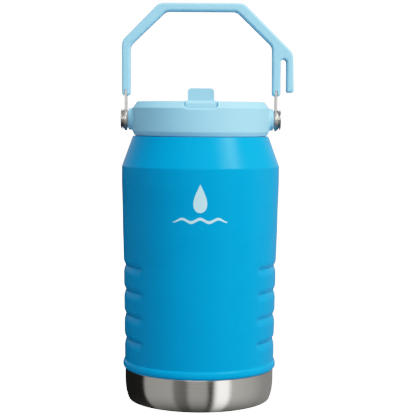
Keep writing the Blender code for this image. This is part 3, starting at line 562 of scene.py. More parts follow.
class JUG_OT_finishes(bpy.types.Operator):
    """Make the shared node groups and every finish of the jug"""

    bl_idname = "jug.finishes"
    bl_label = "Finishes"

    def execute(self, context):
        tone = context.scene.jug_finishes
        GROUPS["skin"] = make_skin_group()
        GROUPS["brush"] = make_brush_group()
        GROUPS["wear"] = make_wear_group()
        FINISHES["coat"] = moulded(
            "Powder coat", tone.coat, 0.30, 2600.0, 0.015 * MM, 0.07,
            Specular_Tint=(0.35, 0.85, 1.0, 1.0),
        )
        FINISHES["plastic"] = moulded(
            "Sky plastic", tone.plastic, 0.46, 3400.0, 0.016 * MM, 0.15
        )
        FINISHES["steel"] = brushed("Band steel", tone.steel, 0.09, 2400.0, 60.0, 0.006 * MM)
        FINISHES["strap"] = brushed("Strap steel", tone.steel, 0.26, 1800.0, 4.0, 0.004 * MM)
        # Darker pin tone: painted shade for the lower halves of the pin heads.
        FINISHES["pin"] = brushed("Shaded pin steel", tone.shaded_pin_steel, 0.12, 5000.0, 1.5, 0.0)
        FINISHES["dark_steel"] = brushed(
            "Dark steel", tone.dark_steel, 0.34, 1800.0, 8.0, 0.004 * MM
        )
        FINISHES["silicone"] = moulded(
            "Clear silicone", tone.silicone, 0.40, 900.0, 0.02 * MM, 0.5,
            Transmission_Weight=0.35, IOR=1.41,
        )
        FINISHES["rubber"] = moulded("Grey rubber", tone.grey_rubber, 0.62, 1600.0, 0.05 * MM)
        FINISHES["white"] = moulded("White plastic", tone.white_plastic, 0.42, 1800.0, 0.015 * MM)
        FINISHES["foam"] = moulded("Foam", tone.foam, 0.90, 700.0, 0.25 * MM, 0.2)
        FINISHES["mark"] = moulded("Printed mark", tone.mark, 0.38, 2600.0, 0.015 * MM, 0.4)
        return {"FINISHED"}


# Bottle


def wall_radius(height):
    """Smooth outer radius of the coated wall, without grooves and bead."""
    stations = [
        (24.0 * MM, 60.9 * MM),
        (34.0 * MM, 61.0 * MM),
        (113.5 * MM, 62.15 * MM),
        (138.0 * MM, 62.95 * MM),
        (158.0 * MM, 63.3 * MM),
        (177.0 * MM, SHOULDER_R - 0.1 * MM),
        (191.0 * MM, SHOULDER_R - 0.1 * MM),
    ]
    for (low, low_r), (high, high_r) in zip(stations, stations[1:]):
        if height <= high:
            share = (height - low) / (high - low)
            return low_r + (high_r - low_r) * share
    return stations[-1][1]


def groove_share(height, angle, bottle):
    """How deep the side grooves are at a place, from 0 to 1: a cusp between pillows."""
    share = 0.0
    for index in range(4):
        above = height - (bottle.groove_top - index * bottle.groove_pitch)
        reach = bottle.groove_rise if above > 0.0 else bottle.groove_fall
        share = max(share, 1.0 - abs(above) / reach)
    from_side = abs(math.remainder(angle, math.pi))
    along = (bottle.groove_reach - from_side) / (0.16 * bottle.groove_reach)
    along = max(0.0, min(1.0, along))
    return share ** 1.8 * along * along * (3.0 - 2.0 * along)


class JUG_OT_bottle(bpy.types.Operator):
    """Coated shell with its shoulder, side grooves and bead"""

    bl_idname = "jug.bottle"
    bl_label = "Coated shell"

    def execute(self, context):
        bottle = context.scene.jug_bottle
        crease_z = RIM_Z - 24.2 * MM
        top = filleted([
            (bottle.rim_radius - 2.2 * MM, RIM_Z - 1.2 * MM, 0.0),
            (bottle.rim_radius - 1.6 * MM, RIM_Z, 0.35 * MM),
            (bottle.rim_radius - 0.1 * MM, RIM_Z, 0.9 * MM),
            (wall_radius(crease_z), crease_z, 5.0 * MM),
            (wall_radius(178.0 * MM), 178.0 * MM, 0.0),
        ], closed=False)
        outer = list(top)
        height = 178.0 * MM
        crest = SHELL_FOOT_Z + bottle.bead_half
        bead_top = crest + 1.45 * bottle.bead_half
        while height > bead_top + 1.0 * MM:
            in_ribs = height < bottle.groove_top + 8.0 * MM
            height -= 0.5 * MM if in_ribs else 4.0 * MM
            outer.append((wall_radius(height), height))
        foot_r = wall_radius(SHELL_FOOT_Z) - 0.5 * MM
        for step in range(-8, 9):
            turn = math.radians(step * 10.5)
            half = (bead_top - crest) if step < 0 else bottle.bead_half
            height = crest - half * math.sin(turn)
            root = wall_radius(height) if step < 0 else foot_r
            swell = wall_radius(crest) + bottle.bead_rise - root
            outer.append((root + swell * math.cos(turn), height))
        outer.append((foot_r - 0.2 * MM, SHELL_FOOT_Z))
        inner = [
            (foot_r - bottle.wall, SHELL_FOOT_Z),
            (wall_radius(40.0 * MM) - 2.9 * MM, 40.0 * MM),
            (wall_radius(114.0 * MM) - 2.9 * MM, 114.0 * MM),
            (wall_radius(126.0 * MM) - bottle.wall, 126.0 * MM),
            (wall_radius(crease_z) - bottle.wall, crease_z - bottle.wall),
        ]
        shell = spun("coated_shell", outer + inner, closed=True)
        for vertex in shell.data.vertices:
            radius = math.hypot(vertex.co.x, vertex.co.y)
            if radius < wall_radius(vertex.co.z) - 0.5 * MM:
                continue
            angle = math.atan2(vertex.co.y, vertex.co.x)
            share = groove_share(vertex.co.z, angle, bottle)
            reduced = (radius - bottle.groove_depth * share) / radius
            vertex.co.x *= reduced
            vertex.co.y *= reduced
        shade(shell, FINISHES["coat"], "bottle", ["outer_shell"])
        return {"FINISHED"}


def foot_point(share):
    """Point on the foot's long curve, from its start on the band to the floor."""
    height = FOOT_CURVE * (1.0 - share) + 0.5 * MM * share
    tuck = FOOT_TUCK * (1.0 - height / FOOT_CURVE) ** 3.6
    return (BAND_R - tuck, height, 0.9 * MM if share == 1.0 else 0.0)


class JUG_OT_base(bpy.types.Operator):
    """Bare steel band with its rounded foot, and the soft pad under it"""

    bl_idname = "jug.base"
    bl_label = "Steel base and pad"

    def execute(self, context):
        cup = turned("steel_base", [
            (0.0, 3.7 * MM, 0.0),
            (45.4 * MM, 3.7 * MM, 0.6 * MM),
            (47.6 * MM, 1.2 * MM, 0.8 * MM),
            (56.0 * MM, 1.2 * MM, 2.0 * MM),
            (59.2 * MM, 12.0 * MM, 0.0),
            (59.2 * MM, CUP_HIGH.z, 0.0),
            (59.9 * MM, CUP_HIGH.z, 0.2 * MM),
            (59.9 * MM, BAND_TOP_Z, 0.0),
            (BAND_R, BAND_TOP_Z, 0.0),
            *[foot_point(step / 20) for step in range(21)],
            (BAND_R - 5.1 * MM, 0.0, 0.0),
            (46.6 * MM, 0.0, 1.2 * MM),
            (44.8 * MM, 2.6 * MM, 0.8 * MM),
            (0.0, 2.6 * MM, 0.0),
        ])
        shade(cup, FINISHES["steel"], "bottle", ["base_cup"])
        radius = PAD_HIGH.x
        rings = [(0.0, PAD_HIGH.z), (radius, PAD_HIGH.z), (radius, 0.5 * MM)]
        rings += [(radius - 0.5 * MM, PAD_LOW.z)]
        for index in range(5):
            edge = radius - (3.0 + 4.0 * index) * MM
            rings += [
                (edge, PAD_LOW.z),
                (edge - 0.4 * MM, PAD_LOW.z + 0.5 * MM),
                (edge - 1.2 * MM, PAD_LOW.z + 0.5 * MM),
                (edge - 1.6 * MM, PAD_LOW.z),
            ]
        rings.append((0.0, PAD_LOW.z))
        pad = spun("foot_pad", rings)
        shade(pad, FINISHES["rubber"], "bottle", ["base_pad"])
        return {"FINISHED"}


def printed(name, bm):
    """Lay a flat shape (X, Z) on the front of the coated wall as thin print."""
    for vertex in bm.verts:
        radius = wall_radius(vertex.co.z) + PRINT_GAP
        vertex.co.y = -math.sqrt(radius ** 2 - vertex.co.x ** 2)
    grown = bmesh.ops.extrude_face_region(bm, geom=list(bm.faces))
    for vertex in vertices(grown):
        vertex.co.y -= PRINT_HEIGHT
    bmesh.ops.recalc_face_normals(bm, faces=bm.faces)
    piece = add_piece(name, bm)
    shade(piece, FINISHES["mark"], "bottle")


class JUG_OT_mark(bpy.types.Operator):
    """Plain printed drop over a wave, on the front of the coated wall"""

    bl_idname = "jug.mark"
    bl_label = "Printed mark"

    def execute(self, context):
        bottle = context.scene.jug_bottle
        half = bottle.drop_height / 2
        bm = bmesh.new()
        bmesh.ops.create_circle(bm, cap_ends=True, cap_tris=True, segments=64, radius=1.0)
        bmesh.ops.subdivide_edges(bm, edges=list(bm.edges), cuts=5, use_grid_fill=True)
        for vertex in bm.verts:
            out = math.hypot(vertex.co.x, vertex.co.y)
            turn = math.atan2(vertex.co.x, vertex.co.y)
            width = math.sin(turn) * math.sin(abs(turn) / 2) ** 1.3
            rise = math.cos(turn)
            vertex.co = (0.66 * half * out * width, 0.0, bottle.mark_z + half * out * rise)
        printed("drop_mark", bm)
        bm = bmesh.new()
        bmesh.ops.create_grid(bm, x_segments=80, y_segments=2, size=1.0)
        for vertex in bm.verts:
            share = vertex.co.x
            taper = 1.0 - 0.75 * share ** 4
            swell = 1.3 * MM * math.cos(3 * math.pi * share)
            across = 1.1 * MM * taper * vertex.co.y
            low = bottle.mark_z - half - 6.0 * MM
            vertex.co = (0.95 * bottle.drop_height * share, 0.0, low + swell + across)
        printed("wave_mark", bm)
        return {"FINISHED"}


# Lid


def lid_boss(sign, lid):
    """Side boss with a rounded end and a flared root."""
    radius = lid.boss_radius
    return turned("boss", [
        (0.0, BOSS_END_X, 0.0),
        (radius, BOSS_END_X, 0.8 * MM),
        (radius, LID_R + 0.6 * MM, 1.8 * MM),
        (radius + 2.2 * MM, LID_R - 2.0 * MM, 0.0),
        (radius - 1.4 * MM, LID_R - 3.0 * MM, 0.0),
        (radius - 1.4 * MM, 44.0 * MM, 0.0),
        (0.0, 44.0 * MM, 0.0),
    ], steps=64, axis="X", sign=sign)


def notch_cutter(lid):
    """Finger notch through the front skin, opened out round its edge as it leaves it."""
    floor_z = LID_TOP_Z - lid.notch_floor
    top_z = LID_TOP_Z + 4.0 * MM
    edge = lid.notch_edge
    turns = [math.radians(15 * step) for step in range(7)]
    rings = [(3.2 * MM, 0.0)]
    rings += [(edge * (1.0 - math.sin(t)), edge * (1.0 - math.cos(t))) for t in turns]
    rings.append((-4.0 * MM, edge))
    bm = bmesh.new()
    face = None
    for depth, grow in rings:
        half = lid.notch_half + grow
        places = []
        for across, height in filleted([
            (-half - 0.9 * MM, top_z, 0.0),
            (-half, floor_z - grow, 3.0 * MM + grow),
            (half, floor_z - grow, 3.0 * MM + grow),
            (half + 0.9 * MM, top_z, 0.0),
        ]):
            slope = min(1.0, max(0.0, (LID_TOP_Z - height) / lid.chamfer))
            skin = lid.flat_radius + (LID_R - lid.flat_radius) * slope
            places.append((across, -math.sqrt((skin - depth) ** 2 - across ** 2), height))
        if face is None:
            face = bm.faces.new([bm.verts.new(place) for place in places])
            first = face
            continue
        grown = bmesh.ops.extrude_face_region(bm, geom=[face])
        if face is not first:
            bmesh.ops.delete(bm, geom=[face], context="FACES_ONLY")
        face = next(item for item in grown["geom"] if isinstance(item, bmesh.types.BMFace))
        for vertex, place in zip(face.verts, places):
            vertex.co = place
    bmesh.ops.recalc_face_normals(bm, faces=bm.faces)
    return add_piece("notch", bm)


class JUG_OT_lid(bpy.types.Operator):
    """Lid cap with chamfered edge, spout channel, finger notch and side bosses"""

    bl_idname = "jug.lid"
    bl_label = "Lid cap"

    def execute(self, context):
        lid = context.scene.jug_lid
        inner = LID_R - 2.2 * MM
        under = LID_TOP_Z - 2.4 * MM
        cap = turned("lid_cap", [
            (0.0, LID_TOP_Z, 0.0),
            (lid.flat_radius, LID_TOP_Z, 0.7 * MM),
            (LID_R, LID_TOP_Z - lid.chamfer, 1.2 * MM),
            (LID_R, LID_FOOT_Z + 3.4 * MM, 3.5 * MM),
            (LID_R - 1.7 * MM, LID_FOOT_Z, 0.5 * MM),
            (inner, LID_FOOT_Z, 0.0),
            (inner, LID_TOP_Z - 6.0 * MM, 1.0 * MM),
            (50.0 * MM, under, 1.0 * MM),
            (0.0, under, 0.0),
        ])
        floor_z = LID_TOP_Z - lid.channel_floor
        back_y = SPOUT_HIGH.y + 2.6 * MM
        front_y = -(inner - 0.3 * MM)
        wide = lid.channel_half + 2.0 * MM
        outline = rectangle(-wide, wide, -LID_R, back_y + 2.0 * MM, 0.0, 3.0 * MM)
        tray = plate("tray", outline, floor_z - 2.0 * MM, LID_TOP_Z - 1.0 * MM, "Z")
        keep = spun("keep", [
            (0.0, LID_TOP_Z),
            (lid.flat_radius - 1.6 * MM, LID_TOP_Z),
            (LID_R - 1.3 * MM, LID_TOP_Z - 6.2 * MM),
            (LID_R - 1.3 * MM, floor_z - 5.0 * MM),
            (0.0, floor_z - 5.0 * MM),
        ])
        combine(tray, keep, "INTERSECT")
        combine(cap, tray, "UNION")
        for sign in (-1, 1):
            combine(cap, lid_boss(sign, lid), "UNION")
        half = lid.channel_half
        outline = rectangle(-half, half, front_y, back_y, 2.2 * MM, 3.0 * MM)
        combine(cap, plate("channel", outline, floor_z, LID_TOP_Z + 8.0 * MM, "Z"), "DIFFERENCE")
        combine(cap, notch_cutter(lid), "DIFFERENCE")
        for side in (-MM, MM):
            bore(cap, 3.9 * MM, side * 40.0, side * 70.0, 0.0, PIVOT_Z)
            bore(cap, PRESS_BORE_R, side * 10.0, side * 20.0, HINGE_Y, HINGE_Z)
        seat = bar("seat", 5.9 * MM, (0.0, HINGE_Y, floor_z - 1.0 * MM),
                   (0.0, HINGE_Y, floor_z + 1.0 * MM))
        combine(cap, seat, "DIFFERENCE")
        drain = bar("drain", 3.0 * MM, (0.0, HINGE_Y, floor_z - 6.0 * MM),
                    (0.0, HINGE_Y, floor_z + 1.0 * MM))
        combine(cap, drain, "DIFFERENCE")

        def at_opening(place):
            behind = place.y > -lid.flat_radius + 2.0 * MM
            return abs(place.x) < wide and behind and place.z > LID_TOP_Z - 0.1 * MM

        soften(cap, lid.edge, 3, 25.0, at_opening)
        shade(cap, FINISHES["plastic"], "lid", ["lid_body"])
        return {"FINISHED"}


class JUG_OT_spout(bpy.types.Operator):
    """Flip spout: barrel, arm, thumb tab with a shallow scoop, and the lip under it"""

    bl_idname = "jug.spout"
    bl_label = "Spout"

    def execute(self, context):
        edge = context.scene.jug_handle.tab_edge
        lid = context.scene.jug_lid
        nose_y = SPOUT_LOW.y
        tab_half = 10.3 * MM
        lip_half = lid.channel_half - 0.25 * MM
        lip_z = LID_TOP_Z + 0.5 * MM
        side = filleted([
            (HINGE_Y, HINGE_Z + 6.2 * MM, 0.0),
            (nose_y + 7.7 * MM, HINGE_Z + 8.2 * MM, 3.0 * MM),
            (nose_y + 5.7 * MM, TAB_TOP_Z, 1.2 * MM),
            (nose_y + 2.9 * MM, TAB_TOP_Z, 1.2 * MM),
            (nose_y + 3.0 * MM, HINGE_Z - 4.6 * MM, 1.5 * MM),
            (HINGE_Y, HINGE_Z - 6.0 * MM, 0.0),
        ])
        spout = plate("spout_body", side, -11.0 * MM, 11.0 * MM, "X")
        outline = rectangle(
            -tab_half, tab_half, TAB_TOP_Z, HINGE_Z - 5.0 * MM, 3.0 * MM, 3.5 * MM
        )
        head = plate("head", outline, -60.0 * MM, -43.0 * MM, "Y")
        arm_half = 8.6 * MM
        outline = rectangle(
            -arm_half, arm_half, HINGE_Z + 6.8 * MM, HINGE_Z - 5.6 * MM, 2.5 * MM, 3.5 * MM
        )
        arm = plate("arm", outline, -46.0 * MM, 0.0, "Y")
        combine(head, arm, "UNION")
        combine(spout, head, "INTERSECT")
        soften(spout, edge, 3)
        lip = plate("lip", filleted([
            (nose_y + 6.0 * MM, lip_z, 0.5 * MM),
            (nose_y + 2.8 * MM, lip_z, 1.0 * MM),
            (nose_y + 0.9 * MM, lip_z - 2.2 * MM, 0.8 * MM),
            (nose_y + 0.5 * MM, LID_TOP_Z - lid.notch_floor, 1.5 * MM),
            (nose_y + 0.9 * MM, HINGE_Z - 4.0 * MM, 1.2 * MM),
            (nose_y + 6.0 * MM, HINGE_Z - 4.0 * MM, 0.5 * MM),
        ]), -lip_half, lip_half, "X")
        combine(spout, soften(lip, 0.7 * MM, 3, 50.0), "UNION")
        barrel = bar("barrel", 6.6 * MM, (SPOUT_LOW.x, HINGE_Y, HINGE_Z),
                     (SPOUT_HIGH.x, HINGE_Y, HINGE_Z), 64)
        combine(spout, soften(barrel, 0.5 * MM, 2, 50.0), "UNION")
        left = -tab_half + 1.4 * MM
        right = tab_half - 2.6 * MM
        outline = rectangle(
            left, right, TAB_TOP_Z + 2.0 * MM, lip_z + 0.9 * MM, 0.0, 1.2 * MM
        )
        scoop = plate("scoop", outline, nose_y - 3.0 * MM, nose_y + 3.2 * MM, "Y")
        combine(spout, scoop, "DIFFERENCE")
        combine(spout, bar("bore", 3.6 * MM, (0.0, -60.0 * MM, HINGE_Z),
                           (0.0, 6.0 * MM, HINGE_Z)), "DIFFERENCE")
        for side in (-MM, MM):
            bore(spout, PRESS_BORE_R, side * 7.2, side * 15.0, HINGE_Y, HINGE_Z)
        soften(spout, 0.25 * MM, 2, 30.0, lambda place: place.z > lip_z + 0.3 * MM)
        shade(spout, FINISHES["plastic"], "spout", ["spout"])
        return {"FINISHED"}


# Handle


class JUG_OT_bail(bpy.types.Operator):
    """Eight-sided bail with rounded edges, strap slits and the side hook"""

    bl_idname = "jug.bail"
    bl_label = "Handle bail"

    def execute(self, context):
        edge = context.scene.jug_handle.edge
        foot = BAIL_LOW.z
        hook_foot = foot + 3.1 * MM
        left = -63.7 * MM
        right = 64.1 * MM
        slot_top = foot + 29.8 * MM
        top_half = 34.0 * MM
        gap_half = 28.4 * MM
        gap_top = 314.6 * MM
        gap_bend = 287.0 * MM
        bend = 9.0 * MM
        gap_fillet = 7.0 * MM
        tip = 2.4 * MM
        outline = filleted([
            (left, foot, tip),
            (BAIL_LOW.x, 290.8 * MM, bend),
            (-top_half, BAIL_HIGH.z, bend),
            (top_half, BAIL_HIGH.z, bend),
            (73.9 * MM, 281.8 * MM, bend),
            (BAIL_HIGH.x, hook_foot, 2.0 * MM),
            (68.8 * MM, hook_foot, 2.0 * MM),
            (68.7 * MM, slot_top, 2.28 * MM),
            (right, slot_top, 2.28 * MM),
            (right, foot, tip),
            (57.4 * MM, foot, tip),
            (57.1 * MM, gap_bend, gap_fillet),
            (gap_half, gap_top, gap_fillet),
            (-gap_half, gap_top, gap_fillet),
            (-57.1 * MM, gap_bend, gap_fillet),
            (-57.0 * MM, foot, tip),
        ])
        bail = rounded_plate("carry_bail", outline, BAIL_HIGH.y, edge)
        slit_top = foot + 4.9 * MM
        for sign in (-1, 1):
            near, far = sorted((sign * (STRAP_LOW.x - 0.1 * MM), sign * (STRAP_HIGH.x + 0.1 * MM)))
            slit = plate("slit", filleted([
                (near, foot - 4.0 * MM, 0.0),
                (near, slit_top, 0.9 * MM),
                (far, slit_top, 0.9 * MM),
                (far, foot - 4.0 * MM, 0.0),
            ]), -12.0 * MM, 12.0 * MM, "Y")
            combine(bail, slit, "DIFFERENCE")
            pocket = plate("pocket", [
                (STRAP_LOW.y + 2.6 * MM, foot - 4.0 * MM),
                (STRAP_LOW.y + 2.6 * MM, STRAP_HIGH.z + 1.0 * MM),
                (STRAP_HIGH.y - 2.6 * MM, STRAP_HIGH.z + 1.0 * MM),
                (STRAP_HIGH.y - 2.6 * MM, foot - 4.0 * MM),
            ], near, far, "X")
            combine(bail, pocket, "DIFFERENCE")
            bore(bail, PRESS_BORE_R, sign * 50.0 * MM, sign * 66.0 * MM, 0.0, RIVET_Z, 32)
        shade(bail, FINISHES["plastic"], "handle", ["handle_bail"])
        return {"FINISHED"}


def strap_outline():
    """Round eye about the pivot and a straight tongue with a rounded top."""
    half = 6.0 * MM
    eye = (STRAP_HIGH.y - STRAP_LOW.y) / 2
    neck = math.asin(half / eye)
    steps = 56
    points = []
    for step in range(steps + 1):
        angle = math.pi / 2 - neck - (math.tau - 2 * neck) * step / steps
        points.append((eye * math.cos(angle), PIVOT_Z + eye * math.sin(angle)))
    tongue = filleted([
        (-half, PIVOT_Z, 0.0),
        (-half, STRAP_HIGH.z, 3.0 * MM),
        (half, STRAP_HIGH.z, 3.0 * MM),
        (half, PIVOT_Z, 0.0),
    ])
    return points + tongue[1:-1]


class JUG_OT_straps(bpy.types.Operator):
    """Flat steel straps with bored eyes, and their dished rivets"""

    bl_idname = "jug.straps"
    bl_label = "Straps and rivets"

    def execute(self, context):
        for sign, side in ((-1, "left"), (1, "right")):
            low, high = sorted((sign * STRAP_LOW.x, sign * STRAP_HIGH.x))
            strap = plate("strap_" + side, strap_outline(), low, high, "X")
            for radius, height in ((5.3 * MM, PIVOT_Z), (PRESS_BORE_R, RIVET_Z)):
                bore(strap, radius, sign * 55.0 * MM, sign * 66.0 * MM, 0.0, height)
            soften(strap, 0.3 * MM, 2, 50.0)
            node = "handle_strap_" + side
            shade(strap, FINISHES["strap"], "handle", [node])
            rivet_node = "strap_rivet_" + side
            rivet_low, rivet_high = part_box(rivet_node)
            reach = (rivet_high.x - rivet_low.x) / 2
            rivet = turned("rivet_" + side, [
                (0.0, reach - 0.25 * MM, 0.0),
                (0.9 * MM, reach, 0.3 * MM),
                (1.8 * MM, reach, 0.3 * MM),
                (1.8 * MM, -reach, 0.3 * MM),
                (0.9 * MM, -reach, 0.3 * MM),
                (0.0, -reach + 0.25 * MM, 0.0),
            ], steps=48, axis="X", sign=sign)
            middle = (rivet_high.x + rivet_low.x) / 2
            rivet.data.transform(Matrix.Translation((middle, 0.0, RIVET_Z - PIVOT_Z)))
            shade(rivet, FINISHES["dark_steel"], "handle", [rivet_node])
        return {"FINISHED"}


class JUG_OT_pivots(bpy.types.Operator):
    """Pivot pins with grooved heads and a driver recess, washers and bushes"""

    bl_idname = "jug.pivots"
    bl_label = "Pivots"

    def execute(self, context):
        head = context.scene.jug_handle.head_radius
        shaft = 3.6 * MM
        seat = STRAP_HIGH.x + 0.3 * MM
        end = PIN_HIGH.x
        for sign, side in ((-1, "left"), (1, "right")):
            pin = turned("pin_" + side, [
                (0.0, end - 0.9 * MM, 0.0),
                (2.3 * MM, end - 0.9 * MM, 0.1 * MM),
                (2.5 * MM, end - 0.1 * MM, 0.2 * MM),
                (head - 1.2 * MM, end, 0.5 * MM),
                (head, end - 0.5 * MM, 0.3 * MM),
                (head, end - 1.2 * MM, 0.15 * MM),
                (head - 1.8 * MM, end - 1.3 * MM, 0.1 * MM),
                (head - 1.8 * MM, end - 1.8 * MM, 0.1 * MM),
                (head - 0.1 * MM, end - 1.9 * MM, 0.15 * MM),
                (head - 0.1 * MM, seat, 0.15 * MM),
                (shaft, seat, 0.1 * MM),
                (shaft, PIN_LOW.x + 0.6 * MM, 0.0),
                (shaft - 0.6 * MM, PIN_LOW.x, 0.0),
                (0.0, PIN_LOW.x, 0.0),
            ], steps=96, axis="X", sign=sign)
            shade(pin, FINISHES["pin"], "lid", ["pivot_pin_" + side])
            for word, body in (("washer", "lid"), ("bush", "handle")):
                node = "pivot_" + word + "_" + side
                low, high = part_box(node)
                near, far = sorted((abs(low.x), abs(high.x)))
                outer = (high.z - low.z) / 2
                inner = shaft + 0.3 * MM
                edge = 0.12 * MM
                ring = spun(word + "_" + side, filleted([
                    (outer, far, edge), (outer, near, edge),
                    (inner, near, edge), (inner, far, edge),
                ]), closed=True, steps=72, axis="X", sign=sign)
                shade(ring, FINISHES["white"], body, [node])
        return {"FINISHED"}


class JUG_OT_inner(bpy.types.Operator):
    """Gasket with a rounded section, and finishes for the pieces inside"""

    bl_idname = "jug.inner"
    bl_label = "Inner pieces"

    def execute(self, context):
        outer = GASKET_HIGH.x
        inner = outer - 2.6 * MM
        gasket = spun("ring_gasket", filleted([
            (outer, GASKET_HIGH.z, 0.8 * MM),
            (outer, GASKET_LOW.z, 0.8 * MM),
            (inner, GASKET_LOW.z, 0.8 * MM),
            (inner, GASKET_HIGH.z, 0.8 * MM),
        ]), closed=True)
        shade(gasket, FINISHES["silicone"], "seal_ring", ["lid_gasket"])
        looks = {
            "steel": ["inner_liner", "spout_stub_left", "spout_stub_right"],
            "dark_steel": ["vacuum_getter"],
            "plastic": ["lid_plug"],
            "foam": ["lid_insulation"],
            "silicone": ["vent_valve", "straw", "spout_tube"],
            "rubber": ["spout_seal"],
            "white": ["straw_adapter"],
        }
        for look, nodes in looks.items():
            for name in nodes:
                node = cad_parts[name]
                node.data.materials.clear()
                node.data.materials.append(FINISHES[look])
        return {"FINISHED"}


# Studio


def softbox(name, azimuth, elevation, distance, size, power, aim):
    """An area light on a bearing from the front, towards +X, looking at aim."""
    turn = math.radians(azimuth)
    rise = math.radians(elevation)
    away = Vector((
        math.sin(turn) * math.cos(rise), -math.cos(turn) * math.cos(rise), math.sin(rise)
    ))
    data = bpy.data.lights.new(name, "AREA")
    data.shape = "RECTANGLE"
    data.size, data.size_y = size
    data.energy = power
    light = bpy.data.objects.new(name, data)
    light.location = aim + away * distance
    light.rotation_euler = (-away).to_track_quat("-Z", "Y").to_euler()
    bpy.context.scene.collection.objects.link(light)
    return light


def studio_world():
    """White for the camera; soft panels and dark flags by bearing for reflections."""
    world = bpy.data.worlds.new("Studio")
    world.use_nodes = True
    bpy.context.scene.world = world
    tree = world.node_tree
    room = tree.nodes["Background"]
    place = tree.nodes.new("ShaderNodeTexCoord")
    split = tree.nodes.new("ShaderNodeSeparateXYZ")
    tree.links.new(place.outputs["Generated"], split.inputs[0])
    front = maths(tree, "MULTIPLY", split.outputs["Y"], -1.0)
    bearing = maths(tree, "ARCTAN2", split.outputs["X"], front)
    share = maths(tree, "MULTIPLY_ADD", bearing, 1.0 / math.tau, 0.5)
    ramp = tree.nodes.new("ShaderNodeValToRGB")
    tree.links.new(share, ramp.inputs["Fac"])
    panels = [
        (-180, 0.01), (-97, 0.015), (-90, 0.52), (-43, 0.58), (-38, 0.26), (-21, 0.18),
        (-14, 0.55), (12, 0.55), (15, 0.07), (22, 0.07), (30, 3.20), (44, 3.20),
        (51, 0.84), (90, 0.64), (116, 0.44), (179, 0.30),
    ]
    stops = ramp.color_ramp.elements
    while len(stops) < len(panels):
        stops.new(0.5)
    for stop, (degrees, level) in zip(stops, panels):
        stop.position = degrees / 360 + 0.5
        stop.color = (level, level, level, 1.0)
    lit = ramp.outputs["Color"]
    layers = ((0.0, 0.06, 0.90), (0.15, 0.40, 0.20), (0.50, 0.85, 1.0), (-0.28, -1.00, 0.05))
    for low, high, level in layers:
        layer = tree.nodes.new("ShaderNodeMix")
        layer.data_type = "RGBA"
        layer.inputs["B"].default_value = (level, level, level, 1.0)
        there = spread(tree, split.outputs["Z"], low, high, 0.0, 1.0)
        tree.links.new(there, layer.inputs["Factor"])
        tree.links.new(lit, layer.inputs["A"])
        lit = layer.outputs["Result"]
    tree.links.new(lit, room.inputs["Color"])
    room.inputs["Strength"].default_value = 1.0
    plain = tree.nodes.new("ShaderNodeBackground")
    plain.inputs["Strength"].default_value = WHITE_LEVEL
    plain.inputs["Color"].default_value = (1.0, 1.0, 1.0, 1.0)
    seen = tree.nodes.new("ShaderNodeLightPath")
    choose = tree.nodes.new("ShaderNodeMixShader")
    tree.links.new(seen.outputs["Is Camera Ray"], choose.inputs["Fac"])
    tree.links.new(room.outputs[0], choose.inputs[1])
    tree.links.new(plain.outputs[0], choose.inputs[2])
    tree.links.new(choose.outputs[0], tree.nodes["World Output"].inputs["Surface"])


def film_response(settings):
    """Plain colours with a soft shoulder, which reaches white at WHITE_LEVEL."""
    settings.view_transform = "Standard"
    settings.use_curve_mapping = True
    curve = settings.curve_mapping
    curve.white_level = (WHITE_LEVEL, WHITE_LEVEL, WHITE_LEVEL)
    points = curve.curves[3].points
    for step in range(1, 12):
        share = (step / 12) ** 2
        shown = (1.0 - math.exp(-WHITE_LEVEL * share)) / (1.0 - math.exp(-WHITE_LEVEL))
        points.new(share, shown)
    curve.update()


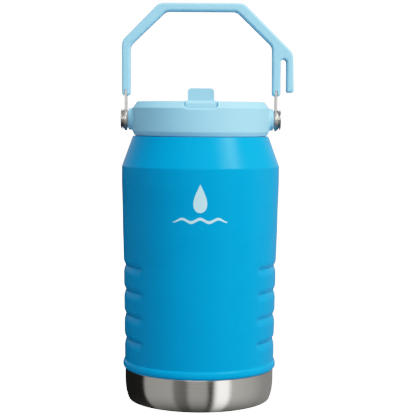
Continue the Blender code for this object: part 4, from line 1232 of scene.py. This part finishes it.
class JUG_OT_stage(bpy.types.Operator):
    """Plain pale floor, soft studio light and the camera"""

    bl_idname = "jug.stage"
    bl_label = "Stage"

    def execute(self, context):
        scene = context.scene
        bm = bmesh.new()
        bmesh.ops.create_circle(bm, cap_ends=True, segments=96, radius=FLOOR_RADIUS)
        floor = add_piece("floor", bm)
        floor_look, tree, shader = new_material("Floor", 0.8)
        shader.inputs["Base Color"].default_value = (0.25, 0.25, 0.25, 1.0)
        shader.inputs["Specular IOR Level"].default_value = 0.1
        shader.inputs["Emission Color"].default_value = (1.0, 1.0, 1.0, 1.0)
        seen = tree.nodes.new("ShaderNodeLightPath")
        glow = maths(tree, "MULTIPLY", seen.outputs["Is Camera Ray"], 0.93 * WHITE_LEVEL)
        tree.links.new(glow, shader.inputs["Emission Strength"])
        floor.data.materials.append(floor_look)
        floor.visible_glossy = False
        studio_world()
        aim = Vector((0.0, 0.0, 0.6 * BAIL_HIGH.z))
        softbox("Key panel", 48.0, 38.0, 1.5, (0.6, 0.8), 38.0, aim)
        softbox("Gloss panel", 54.0, 33.0, 1.5, (0.3, 0.4), 15.0, aim).visible_diffuse = False
        softbox("Front fill", -5.0, 20.0, 2.0, (1.2, 1.2), 10.0, aim)
        softbox("Top panel", -10.0, 76.0, 1.6, (1.2, 1.2), 22.0, aim).visible_glossy = False
        softbox("Right fill", 92.0, 8.0, 1.8, (0.9, 1.4), 14.0, aim).visible_glossy = False
        softbox("Back fill", 175.0, 15.0, 2.0, (1.4, 1.4), 14.0, aim).visible_glossy = False
        camera = bpy.data.objects.new("Camera", bpy.data.cameras.new("Camera"))
        scene.collection.objects.link(camera)
        camera.data.sensor_width = 36.0
        camera.data.lens = 106.7
        camera.location = (0.0, -1.0025, 0.23207)
        pitch = Matrix.Rotation(math.radians(90.0 - 4.33), 4, "X")
        pan = Matrix.Rotation(math.radians(-0.362), 4, "Z")
        roll = Matrix.Rotation(math.radians(0.43), 4, "Z")
        camera.rotation_euler = (pan @ pitch @ roll).to_euler()
        scene.camera = camera
        film_response(scene.view_settings)
        return {"FINISHED"}


STEPS = (
    JUG_OT_finishes,
    JUG_OT_bottle,
    JUG_OT_base,
    JUG_OT_mark,
    JUG_OT_lid,
    JUG_OT_spout,
    JUG_OT_bail,
    JUG_OT_straps,
    JUG_OT_pivots,
    JUG_OT_inner,
    JUG_OT_stage,
)
GROUP_OF = {
    "jug_finishes": JugFinishes,
    "jug_bottle": JugBottle,
    "jug_lid": JugLid,
    "jug_handle": JugHandle,
}


class JUG_PT_sidebar(bpy.types.Panel):
    """Lists the jug's pieces and sizes"""

    bl_label = "Water jug"
    bl_idname = "JUG_PT_sidebar"
    bl_space_type = "VIEW_3D"
    bl_region_type = "UI"
    bl_category = "Water jug"

    def draw(self, context):
        for step in STEPS:
            self.layout.operator(step.bl_idname)
        for attribute, group in GROUP_OF.items():
            box = self.layout.box()
            settings = getattr(context.scene, attribute)
            for label in group.__annotations__:
                box.prop(settings, label)


def register():
    for group in GROUP_OF.values():
        bpy.utils.register_class(group)
    for step in STEPS:
        bpy.utils.register_class(step)
    bpy.utils.register_class(JUG_PT_sidebar)
    for attribute, group in GROUP_OF.items():
        setattr(bpy.types.Scene, attribute, PointerProperty(type=group))


def unregister():
    for attribute in GROUP_OF:
        delattr(bpy.types.Scene, attribute)
    bpy.utils.unregister_class(JUG_PT_sidebar)
    for step in reversed(STEPS):
        bpy.utils.unregister_class(step)
    for group in GROUP_OF.values():
        bpy.utils.unregister_class(group)


def main():
    register()
    for step in STEPS:
        family, action = step.bl_idname.split(".")
        getattr(getattr(bpy.ops, family), action)()


if __name__ == "__main__":
    main()
